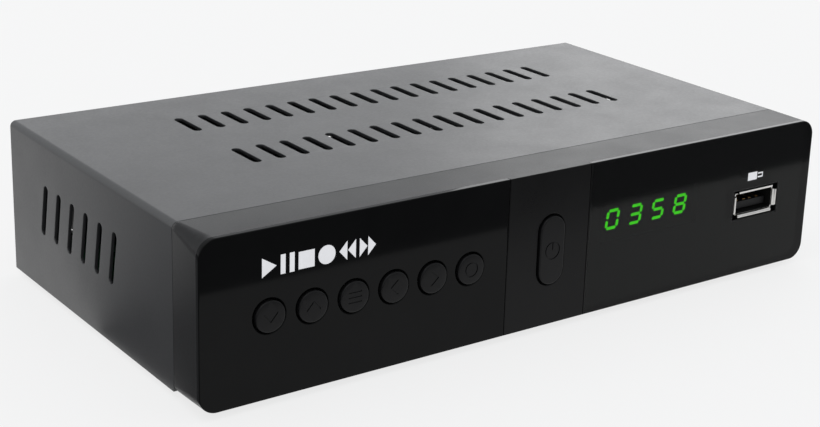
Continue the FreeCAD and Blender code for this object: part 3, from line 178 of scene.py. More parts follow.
def stadium(start, end, radius, steps=12):
    """A slot's outline: half rounds about two centres."""
    start, end = np.array(start, float), np.array(end, float)
    heading = math.atan2(*(end - start)[::-1])
    turns = np.linspace(-math.pi / 2, math.pi / 2, steps + 1)
    far = [end + radius * np.array((math.cos(heading + turn), math.sin(heading + turn))) for turn in turns]
    near = [start - radius * np.array((math.cos(heading + turn), math.sin(heading + turn))) for turn in turns]
    return np.array(far + near)


def rounded_again(loop):
    """A hole's outline from the CAD facets, redrawn with many steps: a circle, a slot, or as it is."""
    middle = (loop.min(0) + loop.max(0)) / 2
    reach = np.linalg.norm(loop - middle, axis=1)
    if reach.max() - reach.min() < 0.02 * reach.max() and len(loop) > 6:
        return circle(middle, reach.max())
    if len(loop) <= 6:
        return wound(loop)
    sides = np.roll(loop, -1, axis=0) - loop
    lengths = np.linalg.norm(sides, axis=1)
    first, second = np.argsort(-lengths)[:2]
    count = len(loop)
    start = (loop[first] + loop[(second + 1) % count]) / 2
    end = (loop[(first + 1) % count] + loop[second]) / 2
    return stadium(start, end, np.linalg.norm(loop[first] - loop[(second + 1) % count]) / 2)


def offset(loop, distance):
    """A counter-clockwise outline grown outwards by a distance, or shrunk if it is negative."""
    before, after = loop - np.roll(loop, 1, axis=0), np.roll(loop, -1, axis=0) - loop
    normals = []
    for side in (before, after):
        side = side / np.maximum(np.linalg.norm(side, axis=1, keepdims=True), 1e-12)
        normals.append(np.column_stack((side[:, 1], -side[:, 0])))
    middle = normals[0] + normals[1]
    middle /= np.linalg.norm(middle, axis=1, keepdims=True)
    slant = np.maximum(np.sum(middle * normals[0], axis=1, keepdims=True), 0.4)
    return loop + distance * middle / slant


def section(y, left=None, right=None, steps=14):
    """The tapered front's outline at a depth, cut off at a left and a right seam where given."""
    share = (SEAM_Y - y) / (SEAM_Y - FRONT_Y)
    half = COVER_HIGH.x + share * (LENS_HIGH.x - COVER_HIGH.x)
    top = COVER_HIGH.z + share * (PLATE_HIGH.z - COVER_HIGH.z)
    radius = BEND_RADIUS + share * (FRONT_CORNER - BEND_RADIUS)
    bottom = COVER_LOW.z
    points = []

    def corner(x, z, begin):
        for turn in np.linspace(begin, begin + math.pi / 2, steps + 1):
            points.append((x + radius * math.cos(turn), z + radius * math.sin(turn)))

    if right is None:
        corner(half - radius, bottom + radius, -math.pi / 2)
        corner(half - radius, top - radius, 0)
    else:
        points += [(right, bottom), (right, top)]
    if left is None:
        corner(-half + radius, top - radius, math.pi / 2)
        corner(-half + radius, bottom + radius, math.pi)
    else:
        points += [(left, top), (left, bottom)]
    return np.array(points)


# ------------------------------------------------------------------ mesh building

class Shape:
    """A mesh made of rings of points, joined by walls and filled by flat faces."""

    def __init__(self):
        self.mesh = bmesh.new()

    def ring(self, loop, lift):
        """A closed ring of vertices; lift turns an outline point into a place in space."""
        return [self.mesh.verts.new(lift(*point)) for point in loop]

    def wall(self, one, two):
        """Quads between two rings of equal length."""
        count = len(one)
        for step in range(count):
            after = (step + 1) % count
            self.mesh.faces.new((one[step], one[after], two[after], two[step]))

    def fill(self, rings):
        """A flat face bounded by the first ring, with the others as holes; gives back its faces."""
        edges = []
        for ring in rings:
            for start, end in zip(ring, ring[1:] + ring[:1]):
                edges.append(self.mesh.edges.get((start, end)) or self.mesh.edges.new((start, end)))
        made = bmesh.ops.triangle_fill(self.mesh, use_beauty=True, edges=edges)
        return [item for item in made["geom"] if isinstance(item, bmesh.types.BMFace)]

    def stack(self, loops, lifts):
        """Rings at successive places, walled one to the next; gives back the rings."""
        rings = [self.ring(loop, lift) for loop, lift in zip(loops, lifts)]
        for one, two in zip(rings, rings[1:]):
            self.wall(one, two)
        return rings

    def piece(self, name, body, slot_name, sharp=30, weld=1e-7):
        """The finished object, riding on a body."""
        bmesh.ops.remove_doubles(self.mesh, verts=self.mesh.verts, dist=weld)
        bmesh.ops.recalc_face_normals(self.mesh, faces=self.mesh.faces)
        data = bpy.data.meshes.new(name)
        self.mesh.to_mesh(data)
        self.mesh.free()
        return settle(bpy.data.objects.new(name, data), body, slot_name, sharp)


def settle(thing, body, slot_name, sharp=30):
    """Link a mesh object, shade it and let it ride."""
    bpy.context.scene.collection.objects.link(thing)
    data = thing.data
    data.polygons.foreach_set("use_smooth", [True] * len(data.polygons))
    data.set_sharp_from_angle(angle=math.radians(sharp))
    weighted = thing.modifiers.new("Weighted normals", "WEIGHTED_NORMAL")
    weighted.keep_sharp = True
    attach(thing, body)
    data.materials.append(MATERIALS[slot_name])
    return thing


def quarter_round(radius, steps=4):
    """Pairs of (inset from the outline, depth from the face) round a soft edge, face first."""
    turns = np.linspace(0, math.pi / 2, steps + 1)
    return [(radius * (1 - math.sin(turn)), radius * (1 - math.cos(turn))) for turn in turns]


def across(y):
    """Lift outline points (x, z) to a plane that faces the front."""
    return lambda x, z: Vector((x, y, z))


# ------------------------------------------------------------------ materials

def shader(name):
    """An empty node material with its surface shader; gives (material, nodes, link, shader)."""
    made = bpy.data.materials.new(name)
    made.use_nodes = True
    tree = made.node_tree
    surface = tree.nodes["Principled BSDF"]
    return made, tree.nodes, tree.links.new, surface


def noise(nodes, link, scale, detail, roughness):
    """A noise pattern in the object's own space, at so many features per metre."""
    place = nodes.new("ShaderNodeTexCoord")
    pattern = nodes.new("ShaderNodeTexNoise")
    pattern.inputs["Scale"].default_value = scale
    pattern.inputs["Detail"].default_value = detail
    pattern.inputs["Roughness"].default_value = roughness
    link(place.outputs["Object"], pattern.inputs["Vector"])
    return pattern.outputs["Fac"]


def ranged(nodes, link, value, low, high, start=0.3, end=0.7):
    """A pattern's value spread over a range."""
    spread = nodes.new("ShaderNodeMapRange")
    spread.inputs["From Min"].default_value = start
    spread.inputs["From Max"].default_value = end
    spread.inputs["To Min"].default_value = low
    spread.inputs["To Max"].default_value = high
    link(value, spread.inputs["Value"])
    return spread.outputs["Result"]


def blended(nodes, link, value, one, two):
    """A colour between two by a pattern's value."""
    ramp = nodes.new("ShaderNodeValToRGB")
    ramp.color_ramp.elements[0].position = 0.35
    ramp.color_ramp.elements[1].position = 0.65
    ramp.color_ramp.elements[0].color = (*one, 1)
    ramp.color_ramp.elements[1].color = (*two, 1)
    link(value, ramp.inputs["Fac"])
    return ramp.outputs["Color"]


def bumped(nodes, link, surface, value, depth):
    """Fine relief of a depth in metres."""
    bump = nodes.new("ShaderNodeBump")
    bump.inputs["Strength"].default_value = 1.0
    bump.inputs["Distance"].default_value = depth
    link(value, bump.inputs["Height"])
    link(bump.outputs["Normal"], surface.inputs["Normal"])


def finish_material(name, colour, other, rough, grain, relief, metallic=0.0, specular=0.5, blotch=90.0):
    """A surface with large colour and gloss variation and a fine grain.

    colour and other are the two ends of the colour variation, rough the (low, high) roughness,
    grain the features per metre of the relief, relief its depth in metres, and blotch the features
    per metre of the large variation."""
    made, nodes, link, surface = shader(name)
    surface.inputs["Metallic"].default_value = metallic
    surface.inputs["Specular IOR Level"].default_value = specular
    cloud = noise(nodes, link, blotch, 4.0, 0.6)
    link(blended(nodes, link, cloud, colour, other), surface.inputs["Base Color"])
    fine = noise(nodes, link, grain, 3.0, 0.6)
    both = nodes.new("ShaderNodeMath")
    both.operation = "MULTIPLY_ADD"
    both.inputs[1].default_value = 0.5
    link(fine, both.inputs[0])
    half = nodes.new("ShaderNodeMath")
    half.operation = "MULTIPLY"
    half.inputs[1].default_value = 0.5
    link(cloud, half.inputs[0])
    link(half.outputs[0], both.inputs[2])
    link(ranged(nodes, link, both.outputs[0], rough[0], rough[1], 0.35, 0.65), surface.inputs["Roughness"])
    bumped(nodes, link, surface, fine, relief)
    return made


def smoked_material(name):
    """A smoked polished plate: mostly a black gloss, a little clear, so lit bars show through."""
    made, nodes, link, surface = shader(name)
    surface.inputs["Base Color"].default_value = (0.0034, 0.0034, 0.0037, 1)
    surface.inputs["Specular IOR Level"].default_value = 0.36
    cloud = noise(nodes, link, 140.0, 5.0, 0.6)
    link(ranged(nodes, link, cloud, 0.05, 0.09), surface.inputs["Roughness"])
    clear = nodes.new("ShaderNodeBsdfTransparent")
    clear.inputs["Color"].default_value = (0.62, 0.66, 0.62, 1)
    mix = nodes.new("ShaderNodeMixShader")
    mix.inputs["Fac"].default_value = 0.45
    output = nodes["Material Output"]
    link(clear.outputs["BSDF"], mix.inputs[1])
    link(surface.outputs["BSDF"], mix.inputs[2])
    link(mix.outputs["Shader"], output.inputs["Surface"])
    return made


def lit_material(name):
    """A lit bar: green light that is a little uneven along the bar."""
    made, nodes, link, surface = shader(name)
    surface.inputs["Base Color"].default_value = (0.02, 0.12, 0.01, 1)
    surface.inputs["Emission Color"].default_value = (0.062, 0.80, 0.006, 1)
    cloud = noise(nodes, link, 900.0, 2.0, 0.5)
    link(ranged(nodes, link, cloud, 4.0, 5.2), surface.inputs["Emission Strength"])
    return made


def make_materials():
    """Every finish that the record's slots name, and those that only the pictures need."""
    made = {}

    def add(slot_name, colour, other, rough, grain, relief, **more):
        made[slot_name] = finish_material(slot_name, colour, other, rough, grain, relief, **more)

    add("cover_paint", (0.015, 0.0155, 0.0165), (0.019, 0.0195, 0.0205), (0.34, 0.42), 1500, 1.2e-5,
        specular=0.8)
    add("chassis_paint", (0.015, 0.0155, 0.0165), (0.019, 0.0195, 0.0205), (0.36, 0.46), 1500, 1.2e-5)
    add("bezel_plastic", (0.007, 0.007, 0.0075), (0.010, 0.010, 0.0105), (0.30, 0.38), 2600, 6e-6,
        specular=0.17)
    add("gloss_fascia", (0.0020, 0.0021, 0.0022), (0.0026, 0.0027, 0.0028), (0.05, 0.09), 4000, 2e-7,
        specular=0.11)
    add("lens_mask", (0.0030, 0.0031, 0.0032), (0.0038, 0.0039, 0.0040), (0.05, 0.09), 4000, 2e-7,
        specular=0.16)
    add("satin_fascia", (0.0032, 0.0032, 0.0034), (0.0042, 0.0042, 0.0045), (0.27, 0.33), 3200, 3e-6,
        specular=0.13)
    add("key_plastic", (0.0035, 0.0035, 0.0038), (0.0048, 0.0048, 0.0052), (0.28, 0.36), 3000, 3e-6,
        specular=0.16)
    add("foot_rubber", (0.014, 0.014, 0.014), (0.022, 0.022, 0.022), (0.7, 0.9), 2500, 2e-5)
    add("black_screw", (0.03, 0.03, 0.032), (0.05, 0.05, 0.052), (0.25, 0.4), 5000, 4e-6, metallic=0.8)
    add("switch_plastic", (0.02, 0.02, 0.02), (0.03, 0.03, 0.03), (0.4, 0.5), 3000, 5e-6)
    add("plunger_plastic", (0.06, 0.06, 0.06), (0.08, 0.08, 0.08), (0.4, 0.5), 3000, 5e-6)
    add("board_green", (0.010, 0.070, 0.030), (0.015, 0.095, 0.040), (0.25, 0.4), 700, 1e-5, blotch=260.0)
    # Darker than bare zinc plate: painted shade that dims the screws' glints seen through the slots.
    add("zinc_screw", (0.22, 0.22, 0.23), (0.28, 0.28, 0.29), (0.35, 0.5), 4000, 4e-6, metallic=1.0)
    add("display_grey", (0.004, 0.004, 0.004), (0.006, 0.006, 0.006), (0.5, 0.6), 3000, 4e-6,
        specular=0.2)
    add("unlit_grey", (0.008, 0.011, 0.008), (0.012, 0.015, 0.012), (0.35, 0.45), 3000, 2e-6,
        specular=0.2)
    add("receiver_resin", (0.010, 0.004, 0.008), (0.015, 0.006, 0.012), (0.1, 0.2), 2000, 2e-6)
    add("plated_steel", (0.60, 0.59, 0.57), (0.70, 0.69, 0.67), (0.14, 0.26), 3500, 2e-6, metallic=1.0,
        blotch=500.0)
    add("socket_plastic", (0.006, 0.006, 0.0065), (0.009, 0.009, 0.0095), (0.35, 0.5), 3000, 5e-6,
        specular=0.22)
    # Dark steel for the socket's inside: painted shade in the tube's hollow, not a different finish.
    add("socket_painted_shade", (0.020, 0.020, 0.020), (0.030, 0.030, 0.030), (0.35, 0.5), 3000, 5e-6,
        metallic=0.7, specular=0.2)
    # Dimmer than bare gold: painted shade for contacts that sit deep in their sockets.
    add("contact_gold", (0.42, 0.24, 0.10), (0.50, 0.30, 0.13), (0.25, 0.38), 4000, 2e-6, metallic=1.0)
    add("ribbon_white", (0.34, 0.34, 0.32), (0.40, 0.40, 0.38), (0.35, 0.5), 2500, 4e-6)
    add("header_cream", (0.28, 0.25, 0.19), (0.34, 0.30, 0.23), (0.4, 0.55), 2500, 5e-6)
    # Darker than bare steel: painted shade that dims the standoffs' glints seen through the slots.
    add("standoff_steel", (0.22, 0.22, 0.22), (0.28, 0.28, 0.28), (0.35, 0.5), 3500, 4e-6, metallic=1.0)
    add("chip_black", (0.012, 0.012, 0.013), (0.020, 0.020, 0.021), (0.4, 0.6), 4000, 6e-6)
    add("cooler_aluminium", (0.05, 0.05, 0.055), (0.07, 0.07, 0.075), (0.4, 0.55), 2500, 6e-6, metallic=0.8)
    add("capacitor_sleeve", (0.015, 0.017, 0.05), (0.022, 0.024, 0.07), (0.2, 0.35), 2500, 4e-6)
    add("coil_ferrite", (0.05, 0.05, 0.05), (0.08, 0.08, 0.08), (0.5, 0.7), 3500, 1e-5)
    add("tin_can", (0.20, 0.205, 0.21), (0.26, 0.265, 0.27), (0.35, 0.5), 1800, 5e-6, metallic=1.0,
        blotch=220.0)
    add("insulator_white", (0.66, 0.66, 0.63), (0.74, 0.74, 0.71), (0.35, 0.5), 2500, 4e-6)
    add("coax_orange", (0.62, 0.14, 0.015), (0.74, 0.18, 0.02), (0.22, 0.35), 2500, 4e-6)
    made["smoked_lens"] = smoked_material("smoked_lens")
    made["lit_green"] = lit_material("lit_green")
    made["mark_white"] = finish_material("mark_white", (0.80, 0.80, 0.82), (0.86, 0.86, 0.88), (0.35, 0.5),
                                         3500, 2e-6)
    return made


MATERIALS = make_materials()

# How far the edges of carried-over nodes are softened, where it isn't the usual amount.
SOFTNESS = {"cover_screws": 0.12 * MM, "jack_nuts": 0.15 * MM, "scart_shell": 0.12 * MM,
            "scart_block": 0.1 * MM, "dc_housing": 0.15 * MM, "tuner_can": 0.3 * MM,
            "capacitors": 0.4 * MM, "power_coils": 0.3 * MM, "coax_mount": 0.2 * MM,
            "tact_switch_housings": 0.12 * MM, "processor_cooler": 0.1 * MM,
            "display_housing": 0.1 * MM}


# ------------------------------------------------------------------ steel cover

def make_cover():
    """The folded cover: softened edges all round, and every slot with a rolled mouth."""
    shape = Shape()
    half, top, bottom = COVER_HIGH.x, COVER_HIGH.z, COVER_LOW.z
    front, rear = COVER_LOW.y, COVER_HIGH.y
    steps = 8

    def fold_line(inset):
        """The cover's cross-section at a depth below its outer skin, left foot to right foot."""
        radius = BEND_RADIUS - inset
        turns = np.linspace(math.pi, math.pi / 2, steps + 1)
        left = [(-half + BEND_RADIUS + radius * math.cos(turn), top - BEND_RADIUS + radius * math.sin(turn))
                for turn in turns]
        return [(-half + inset, bottom + (EDGE if 0 < inset < SHEET_GAUGE else 0))] + left

    def closed_section(trim):
        """The whole section as one closed outline, thinner by a trim on each side."""
        outer, inner = fold_line(trim), fold_line(SHEET_GAUGE - trim)
        outer_all = outer + [(-x, z) for x, z in reversed(outer)]
        inner_all = inner + [(-x, z) for x, z in reversed(inner)]
        return np.array(outer_all + inner_all[::-1])

    for end, inward in ((front, 1), (rear, -1)):
        rings = []
        for inset, depth in quarter_round(EDGE, 2):
            rings.append(shape.ring(closed_section(inset), across(end + inward * depth)))
        for one, two in zip(rings, rings[1:]):
            shape.wall(one, two)
        shape.fill([rings[0]])

    start, stop = front + EDGE, rear - EDGE
    for inset in (0, SHEET_GAUGE):
        line = fold_line(inset)
        for mirror in (1, -1):
            for one, two in zip(line[1:], line[2:]):
                corners = [(one, start), (two, start), (two, stop), (one, stop)]
                shape.mesh.faces.new([shape.mesh.verts.new((mirror * spot[0], y, spot[1]))
                                      for spot, y in corners])
    for mirror in (1, -1):
        corners = [(half, start), (half - SHEET_GAUGE, start), (half - SHEET_GAUGE, stop), (half, stop)]
        shape.mesh.faces.new([shape.mesh.verts.new((mirror * x, y, bottom)) for x, y in corners])

    flat_half = half - BEND_RADIUS
    top_panel = np.array([(-flat_half, start), (flat_half, start), (flat_half, stop), (-flat_half, stop)])
    slots = [rounded_again(loop) for loop in plane_loops("top_cover", 2, top)[1:]]
    slotted_panel(shape, top_panel, slots, lambda depth: lambda x, y: Vector((x, y, top - depth)))
    side_panel = np.array([(start, bottom), (stop, bottom), (stop, top - BEND_RADIUS),
                           (start, top - BEND_RADIUS)])
    for mirror in (-1, 1):
        slots = [rounded_again(loop) for loop in plane_loops("top_cover", 0, mirror * half)[1:]]
        slotted_panel(shape, side_panel, slots,
                      lambda depth: lambda y, z: Vector((mirror * (half - depth), y, z)))
    return shape.piece("cover_shell", "case", "cover_paint", weld=2e-6)


def slotted_panel(shape, outline, slots, level):
    """Both skins of a flat sheet panel and the walls of its slots, with softened mouths."""
    profile = [(EDGE - inset, depth) for inset, depth in quarter_round(EDGE, 3)]
    mouths = [[], []]
    for slot in slots:
        slot = wound(slot)
        loops = [offset(slot, EDGE - grow) for grow, _ in profile]
        depths = [depth for _, depth in profile]
        loops += loops[::-1]
        depths += [SHEET_GAUGE - depth for depth in reversed(depths)]
        rings = shape.stack(loops, [level(depth) for depth in depths])
        mouths[0].append(rings[0])
        mouths[1].append(rings[-1])
    for side, depth in enumerate((0, SHEET_GAUGE)):
        edge = shape.ring(outline, level(depth))
        shape.fill([edge] + mouths[side])


# ------------------------------------------------------------------ front plates

def make_plate(name, node, slot_name, left, right, mouths, window=None):
    """One front plate: a softened outline and holes whose mouths are chamfered and softened.

    mouths holds (outline at the back, chamfer) pairs. A plate with a window is clear, with a mask
    behind it and round its edges, open at the window, and a thin glue layer behind the mask."""
    back = PLATE_BACK_Y if window is None else PLATE_BACK_Y - GLUE_LAYER
    shape = Shape()
    loops, lifts = [], []
    rounding = quarter_round(PLATE_EDGE, 4)
    for inset, depth in [(rounding[0][0] + FLAT_RIM, 0)] + rounding:
        loops.append(offset(section(FRONT_Y + depth, left, right), -inset))
        lifts.append(across(FRONT_Y + depth))
    loops.append(section(back, left, right))
    lifts.append(across(back))
    outer = shape.stack(loops, lifts)
    front_holes, back_holes = [], []
    soft = MOUTH_EDGE
    for outline, chamfer in mouths:
        outline = wound(outline)
        profile = [(chamfer + soft + FLAT_RIM, 0), (chamfer + soft, 0),
                   (chamfer + soft * 0.35, soft * 0.3), (chamfer - soft * 0.3, soft),
                   (soft * 0.5, chamfer - soft * 0.2), (soft * 0.12, chamfer + soft * 0.5),
                   (0, chamfer + soft * 1.3), (0, back - FRONT_Y)]
        rings = shape.stack([offset(outline, grow) for grow, _ in profile],
                            [across(FRONT_Y + depth) for _, depth in profile])
        front_holes.append(rings[0])
        back_holes.append(rings[-1])
    face = shape.fill([outer[0]] + front_holes)
    if window is None:
        shape.fill([outer[-1]] + back_holes)
        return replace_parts(shape.piece(name, "case", slot_name, sharp=35), node)
    opening = shape.ring(window, across(back))
    shape.fill([outer[-1], opening] + back_holes)
    clear = face + shape.fill([opening])
    for polygon in clear:
        polygon.material_index = 1
    piece = shape.piece(name, "case", slot_name, sharp=35)
    piece.data.materials[0] = MATERIALS["lens_mask"]
    piece.data.materials.append(MATERIALS[slot_name])
    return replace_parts(piece, node)


def make_plates():
    """The three plates of the front face."""
    middle, level = local(DISPLAY_MIDDLE, DISPLAY_LEVEL)
    window = rounded_box(middle, level, *WINDOW_HALF, WINDOW_CORNER)
    for name, node, slot_name, left, right in (
            ("fascia_left", "left_fascia", "gloss_fascia", None, PLATE_HIGH.x),
            ("fascia_centre", "centre_fascia", "satin_fascia", *(c.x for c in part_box("centre_fascia"))),
            ("lens_smoked", "display_lens", "smoked_lens", LENS_LOW.x, None)):
        holes = [rounded_again(loop) for loop in plane_loops(node, 1, PLATE_BACK_Y)[1:]]
        lens = node == "display_lens"
        mouths = [(hole, LENS_CHAMFER if lens else MOUTH_CHAMFER) for hole in holes]
        make_plate(name, node, slot_name, left, right, mouths, window if lens else None)


# ------------------------------------------------------------------ carried-over CAD nodes, softened

def refined(node, soft=EDGE, sharp=34, kept=lambda spot: False):
    """A CAD node's own mesh with whole faces and softened edges, shown in its place.

    Edges whose two ends both pass the kept test stay crisp."""
    mesh = bmesh.new()
    mesh.from_mesh(NODES[node].data)
    bmesh.ops.remove_doubles(mesh, verts=mesh.verts, dist=1e-6)
    bmesh.ops.dissolve_limit(mesh, angle_limit=math.radians(0.6), verts=mesh.verts, edges=mesh.edges,
                             use_dissolve_boundaries=False)
    creases = [edge for edge in mesh.edges
               if len(edge.link_faces) == 2 and edge.calc_face_angle(0) > math.radians(sharp)
               and not all(kept(vertex.co) for vertex in edge.verts)]
    if creases and soft:
        bmesh.ops.bevel(mesh, geom=creases, offset=soft, offset_type="OFFSET", segments=2, profile=0.5,
                        affect="EDGES", clamp_overlap=True)
    bmesh.ops.recalc_face_normals(mesh, faces=mesh.faces)
    data = bpy.data.meshes.new(node + "_soft")
    mesh.to_mesh(data)
    mesh.free()
    thing = settle(bpy.data.objects.new(node + "_soft", data), NODE_BODY[node], NODE_SLOT[node], 28)
    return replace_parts(thing, node)


# ------------------------------------------------------------------ keys

def make_key(node):
    """A key with a rounded rim, its shallow symbol, and the flange and stem behind the plate."""
    low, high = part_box(node)
    face, wall_back = low.y, FRONT_Y + KEY_SHANK
    loops = plane_loops(node, 1, face)
    marks = [wound(loop) for loop in loops[1:]]
    outline = rounded_again(wound(loops[0]))
    outline = offset(outline, KEY_EDGE)
    shape = Shape()
    soft = quarter_round(KEY_EDGE, 6)
    stack = [(offset(outline, -inset), face + depth) for inset, depth in soft]
    stack += [(outline, wall_back), (offset(outline, KEY_RIM), wall_back),
              (offset(outline, KEY_RIM), wall_back + KEY_FLANGE)]
    rings = shape.stack([loop for loop, _ in stack], [across(y) for _, y in stack])
    middle = (outline.min(0) + outline.max(0)) / 2
    stem = [circle(middle, STEM_RADIUS, 48)] * 2
    stem_rings = shape.stack(stem, [across(wall_back + KEY_FLANGE), across(high.y)])
    shape.fill([rings[-1], stem_rings[0]])
    shape.fill([stem_rings[-1]])
    holes, islands = [], []
    for number, mark in enumerate(marks):
        inside = any(encloses(other, mark[0]) for other in marks[:number])
        pair = shape.stack([mark, mark], [across(face), across(face + MARK_DEPTH)])
        (islands if inside else holes).append(pair)
    shape.fill([rings[0]] + [pair[0] for pair in holes])
    for pair in islands:
        shape.fill([pair[0]])
    floors = [[pair[1]] for pair in holes]
    if islands:
        floors = [[holes[0][1]] + [pair[1] for pair in islands]] + floors[1:]
    for floor_rings in floors:
        shape.fill(floor_rings)
    piece = shape.piece(node + "_cap", NODE_BODY[node], NODE_SLOT[node], sharp=40)
    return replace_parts(piece, node)


def encloses(loop, spot):
    """Whether an outline goes round a point."""
    turned = loop - spot
    angles = np.arctan2(turned[:, 1], turned[:, 0])
    steps = (np.diff(np.append(angles, angles[0])) + math.pi) % (2 * math.pi) - math.pi
    return abs(steps.sum()) > math.pi


# ------------------------------------------------------------------ printed symbols

def local(x, z):
    """A place on the front, from millimetres measured from the case's middle and the cover's foot."""
    return np.array((x * MM, COVER_LOW.z + z * MM))


def make_prints():
    """White printed signs: a row of media symbols on the left plate, a memory stick over the socket."""
    signs = [
        [[(0.0, 0.0), (0.80, 0.5), (0.0, 1.0)]],
        [[(0.0, 0.0), (0.27, 0.0), (0.27, 1.0), (0.0, 1.0)],
         [(0.50, 0.0), (0.77, 0.0), (0.77, 1.0), (0.50, 1.0)]],
        [[(0.0, 0.04), (0.90, 0.04), (0.90, 0.94), (0.0, 0.94)]],
        [[(0.48 + 0.49 * math.cos(t * math.pi / 20), 0.5 + 0.49 * math.sin(t * math.pi / 20))
          for t in range(40)]],
        [[(0.46, 0.0), (0.46, 1.0), (0.0, 0.5)], [(0.96, 0.0), (0.96, 1.0), (0.50, 0.5)]],
        [[(0.0, 0.0), (0.46, 0.5), (0.0, 1.0)], [(0.50, 0.0), (0.96, 0.5), (0.50, 1.0)]],
    ]
    left = SIGN_LEFT
    outlines = []
    for sign in signs:
        wide = max(x for part in sign for x, _ in part)
        for part in sign:
            outlines.append([(left + SIGN_HEIGHT * x, SIGN_LEVEL + SIGN_HEIGHT * z) for x, z in part])
        left += SIGN_HEIGHT * (wide + SIGN_SPACE)
    make_print("media_signs", "left_fascia", outlines)
    stick = [[(63.3, 23.75), (66.4, 23.75), (66.4, 25.75), (63.3, 25.75)],
             [(66.65, 24.1), (68.4, 24.1), (68.4, 24.45), (66.65, 24.45)],
             [(66.65, 25.05), (68.4, 25.05), (68.4, 25.4), (66.65, 25.4)],
             [(68.1, 24.45), (68.4, 24.45), (68.4, 25.05), (68.1, 25.05)]]
    make_print("stick_sign", "display_lens", stick)


def make_print(name, node, outlines):
    """Thin ink on the front face."""
    shape = Shape()
    for outline in outlines:
        loop = wound(np.array([local(x, z) for x, z in outline]))
        rings = shape.stack([loop, loop], [across(FRONT_Y - INK), across(FRONT_Y + INK)])
        for ring in rings:
            shape.fill([ring])
    shape.piece(name, NODE_BODY[node], "mark_white")


# ------------------------------------------------------------------ display

def make_bars():
    """The four digits' bars with pointed ends, lit and unlit."""
    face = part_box("lit_segments")[0].y
    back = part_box("display_housing")[0].y
    mid_h, mid_v = (DIGIT_WIDTH - BAR_WIDTH) / 2, (DIGIT_HEIGHT - BAR_WIDTH) / 2
    ends = {"a": ((-mid_h, mid_v), (mid_h, mid_v)), "b": ((mid_h, 0), (mid_h, mid_v)),
            "c": ((mid_h, -mid_v), (mid_h, 0)), "d": ((-mid_h, -mid_v), (mid_h, -mid_v)),
            "e": ((-mid_h, -mid_v), (-mid_h, 0)), "f": ((-mid_h, 0), (-mid_h, mid_v)),
            "g": ((-mid_h, 0), (mid_h, 0))}
    shapes = {"lit_segments": Shape(), "unlit_segments": Shape()}
    for digit, wanted in enumerate(LIT_BARS):
        middle = DISPLAY_MIDDLE + DIGIT_PITCH * (digit - 1.5)
        for bar, (start, end) in ends.items():
            start, end = np.array(start), np.array(end)
            along = (end - start) / np.linalg.norm(end - start)
            side = np.array((-along[1], along[0])) * BAR_WIDTH / 2
            near, far = start + along * BAR_GAP, end - along * BAR_GAP
            blunt = along * (BAR_WIDTH / 2) * BAR_POINT
            corners = [near, near + blunt - side, far - blunt - side, far, far - blunt + side,
                       near + blunt + side]
            slanted = [local(middle + x + z * math.tan(math.radians(DIGIT_LEAN)), DISPLAY_LEVEL + z)
                       for x, z in corners]
            shape = shapes["lit_segments" if bar in wanted else "unlit_segments"]
            loop = wound(np.array(slanted))
            rings = shape.stack([loop, loop], [across(face), across(back)])
            for ring in rings:
                shape.fill([ring])
    for node, shape in shapes.items():
        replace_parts(shape.piece(node + "_shaped", NODE_BODY[node], NODE_SLOT[node]), node)


# ------------------------------------------------------------------ front socket

def rounded_box(x, z, half_x, half_z, radius, steps=5):
    """A rectangle's outline with round corners."""
    points = []
    for number, (sx, sz) in enumerate(((1, -1), (1, 1), (-1, 1), (-1, -1))):
        for turn in np.linspace(0, math.pi / 2, steps + 1):
            angle = (number - 1) * math.pi / 2 + turn
            points.append((x + sx * (half_x - radius) + radius * math.cos(angle),
                           z + sz * (half_z - radius) + radius * math.sin(angle)))
    return np.array(points)


def make_usb():
    """The front socket: a folded steel tube with four flared lips."""
    low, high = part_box("usb_shell")
    x, z = (low.x + high.x) / 2, (low.z + high.z) / 2
    gauge = USB_GAUGE * MM
    half_x, half_z = USB_WIDTH / 2 * MM, USB_HEIGHT / 2 * MM
    front = FRONT_Y + USB_LIP_REACH * MM
    shape = Shape()
    outer = rounded_box(x, z, half_x, half_z, 0.7 * MM)
    inner = rounded_box(x, z, half_x - gauge, half_z - gauge, 0.4 * MM)
    soft = 0.05 * MM
    rings = shape.stack([inner, offset(inner, soft), offset(outer, -soft), outer, outer],
                        [across(front + soft), across(front), across(front), across(front + soft),
                         across(high.y)])
    deep = high.y - USB_ROOT * MM
    inside = shape.ring(inner, across(deep))
    shape.wall(rings[0], inside)
    shape.fill([inside])
    # The tube's inside wall and floor take the dark second material: painted shade in the hollow.
    for polygon in shape.mesh.faces:
        if all(vertex in inside or vertex in rings[0] for vertex in polygon.verts):
            polygon.material_index = 1
    shape.fill([rings[-1]])
    for turn, reach, side, flare in ((0, half_z, half_x, USB_RISE), (2, half_z, half_x, USB_RISE),
                                     (1, half_x, half_z, USB_FLARE), (3, half_x, half_z, USB_FLARE)):
        make_lip(shape, (x, z), turn, reach, side - USB_LIP_RELIEF * MM, flare * MM, gauge, front)
    piece = shape.piece("usb_socket_shell", "case", "plated_steel", sharp=40)
    # Second slot: the painted shade inside the tube.
    piece.data.materials.append(MATERIALS["socket_painted_shade"])
    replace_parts(piece, "usb_shell")


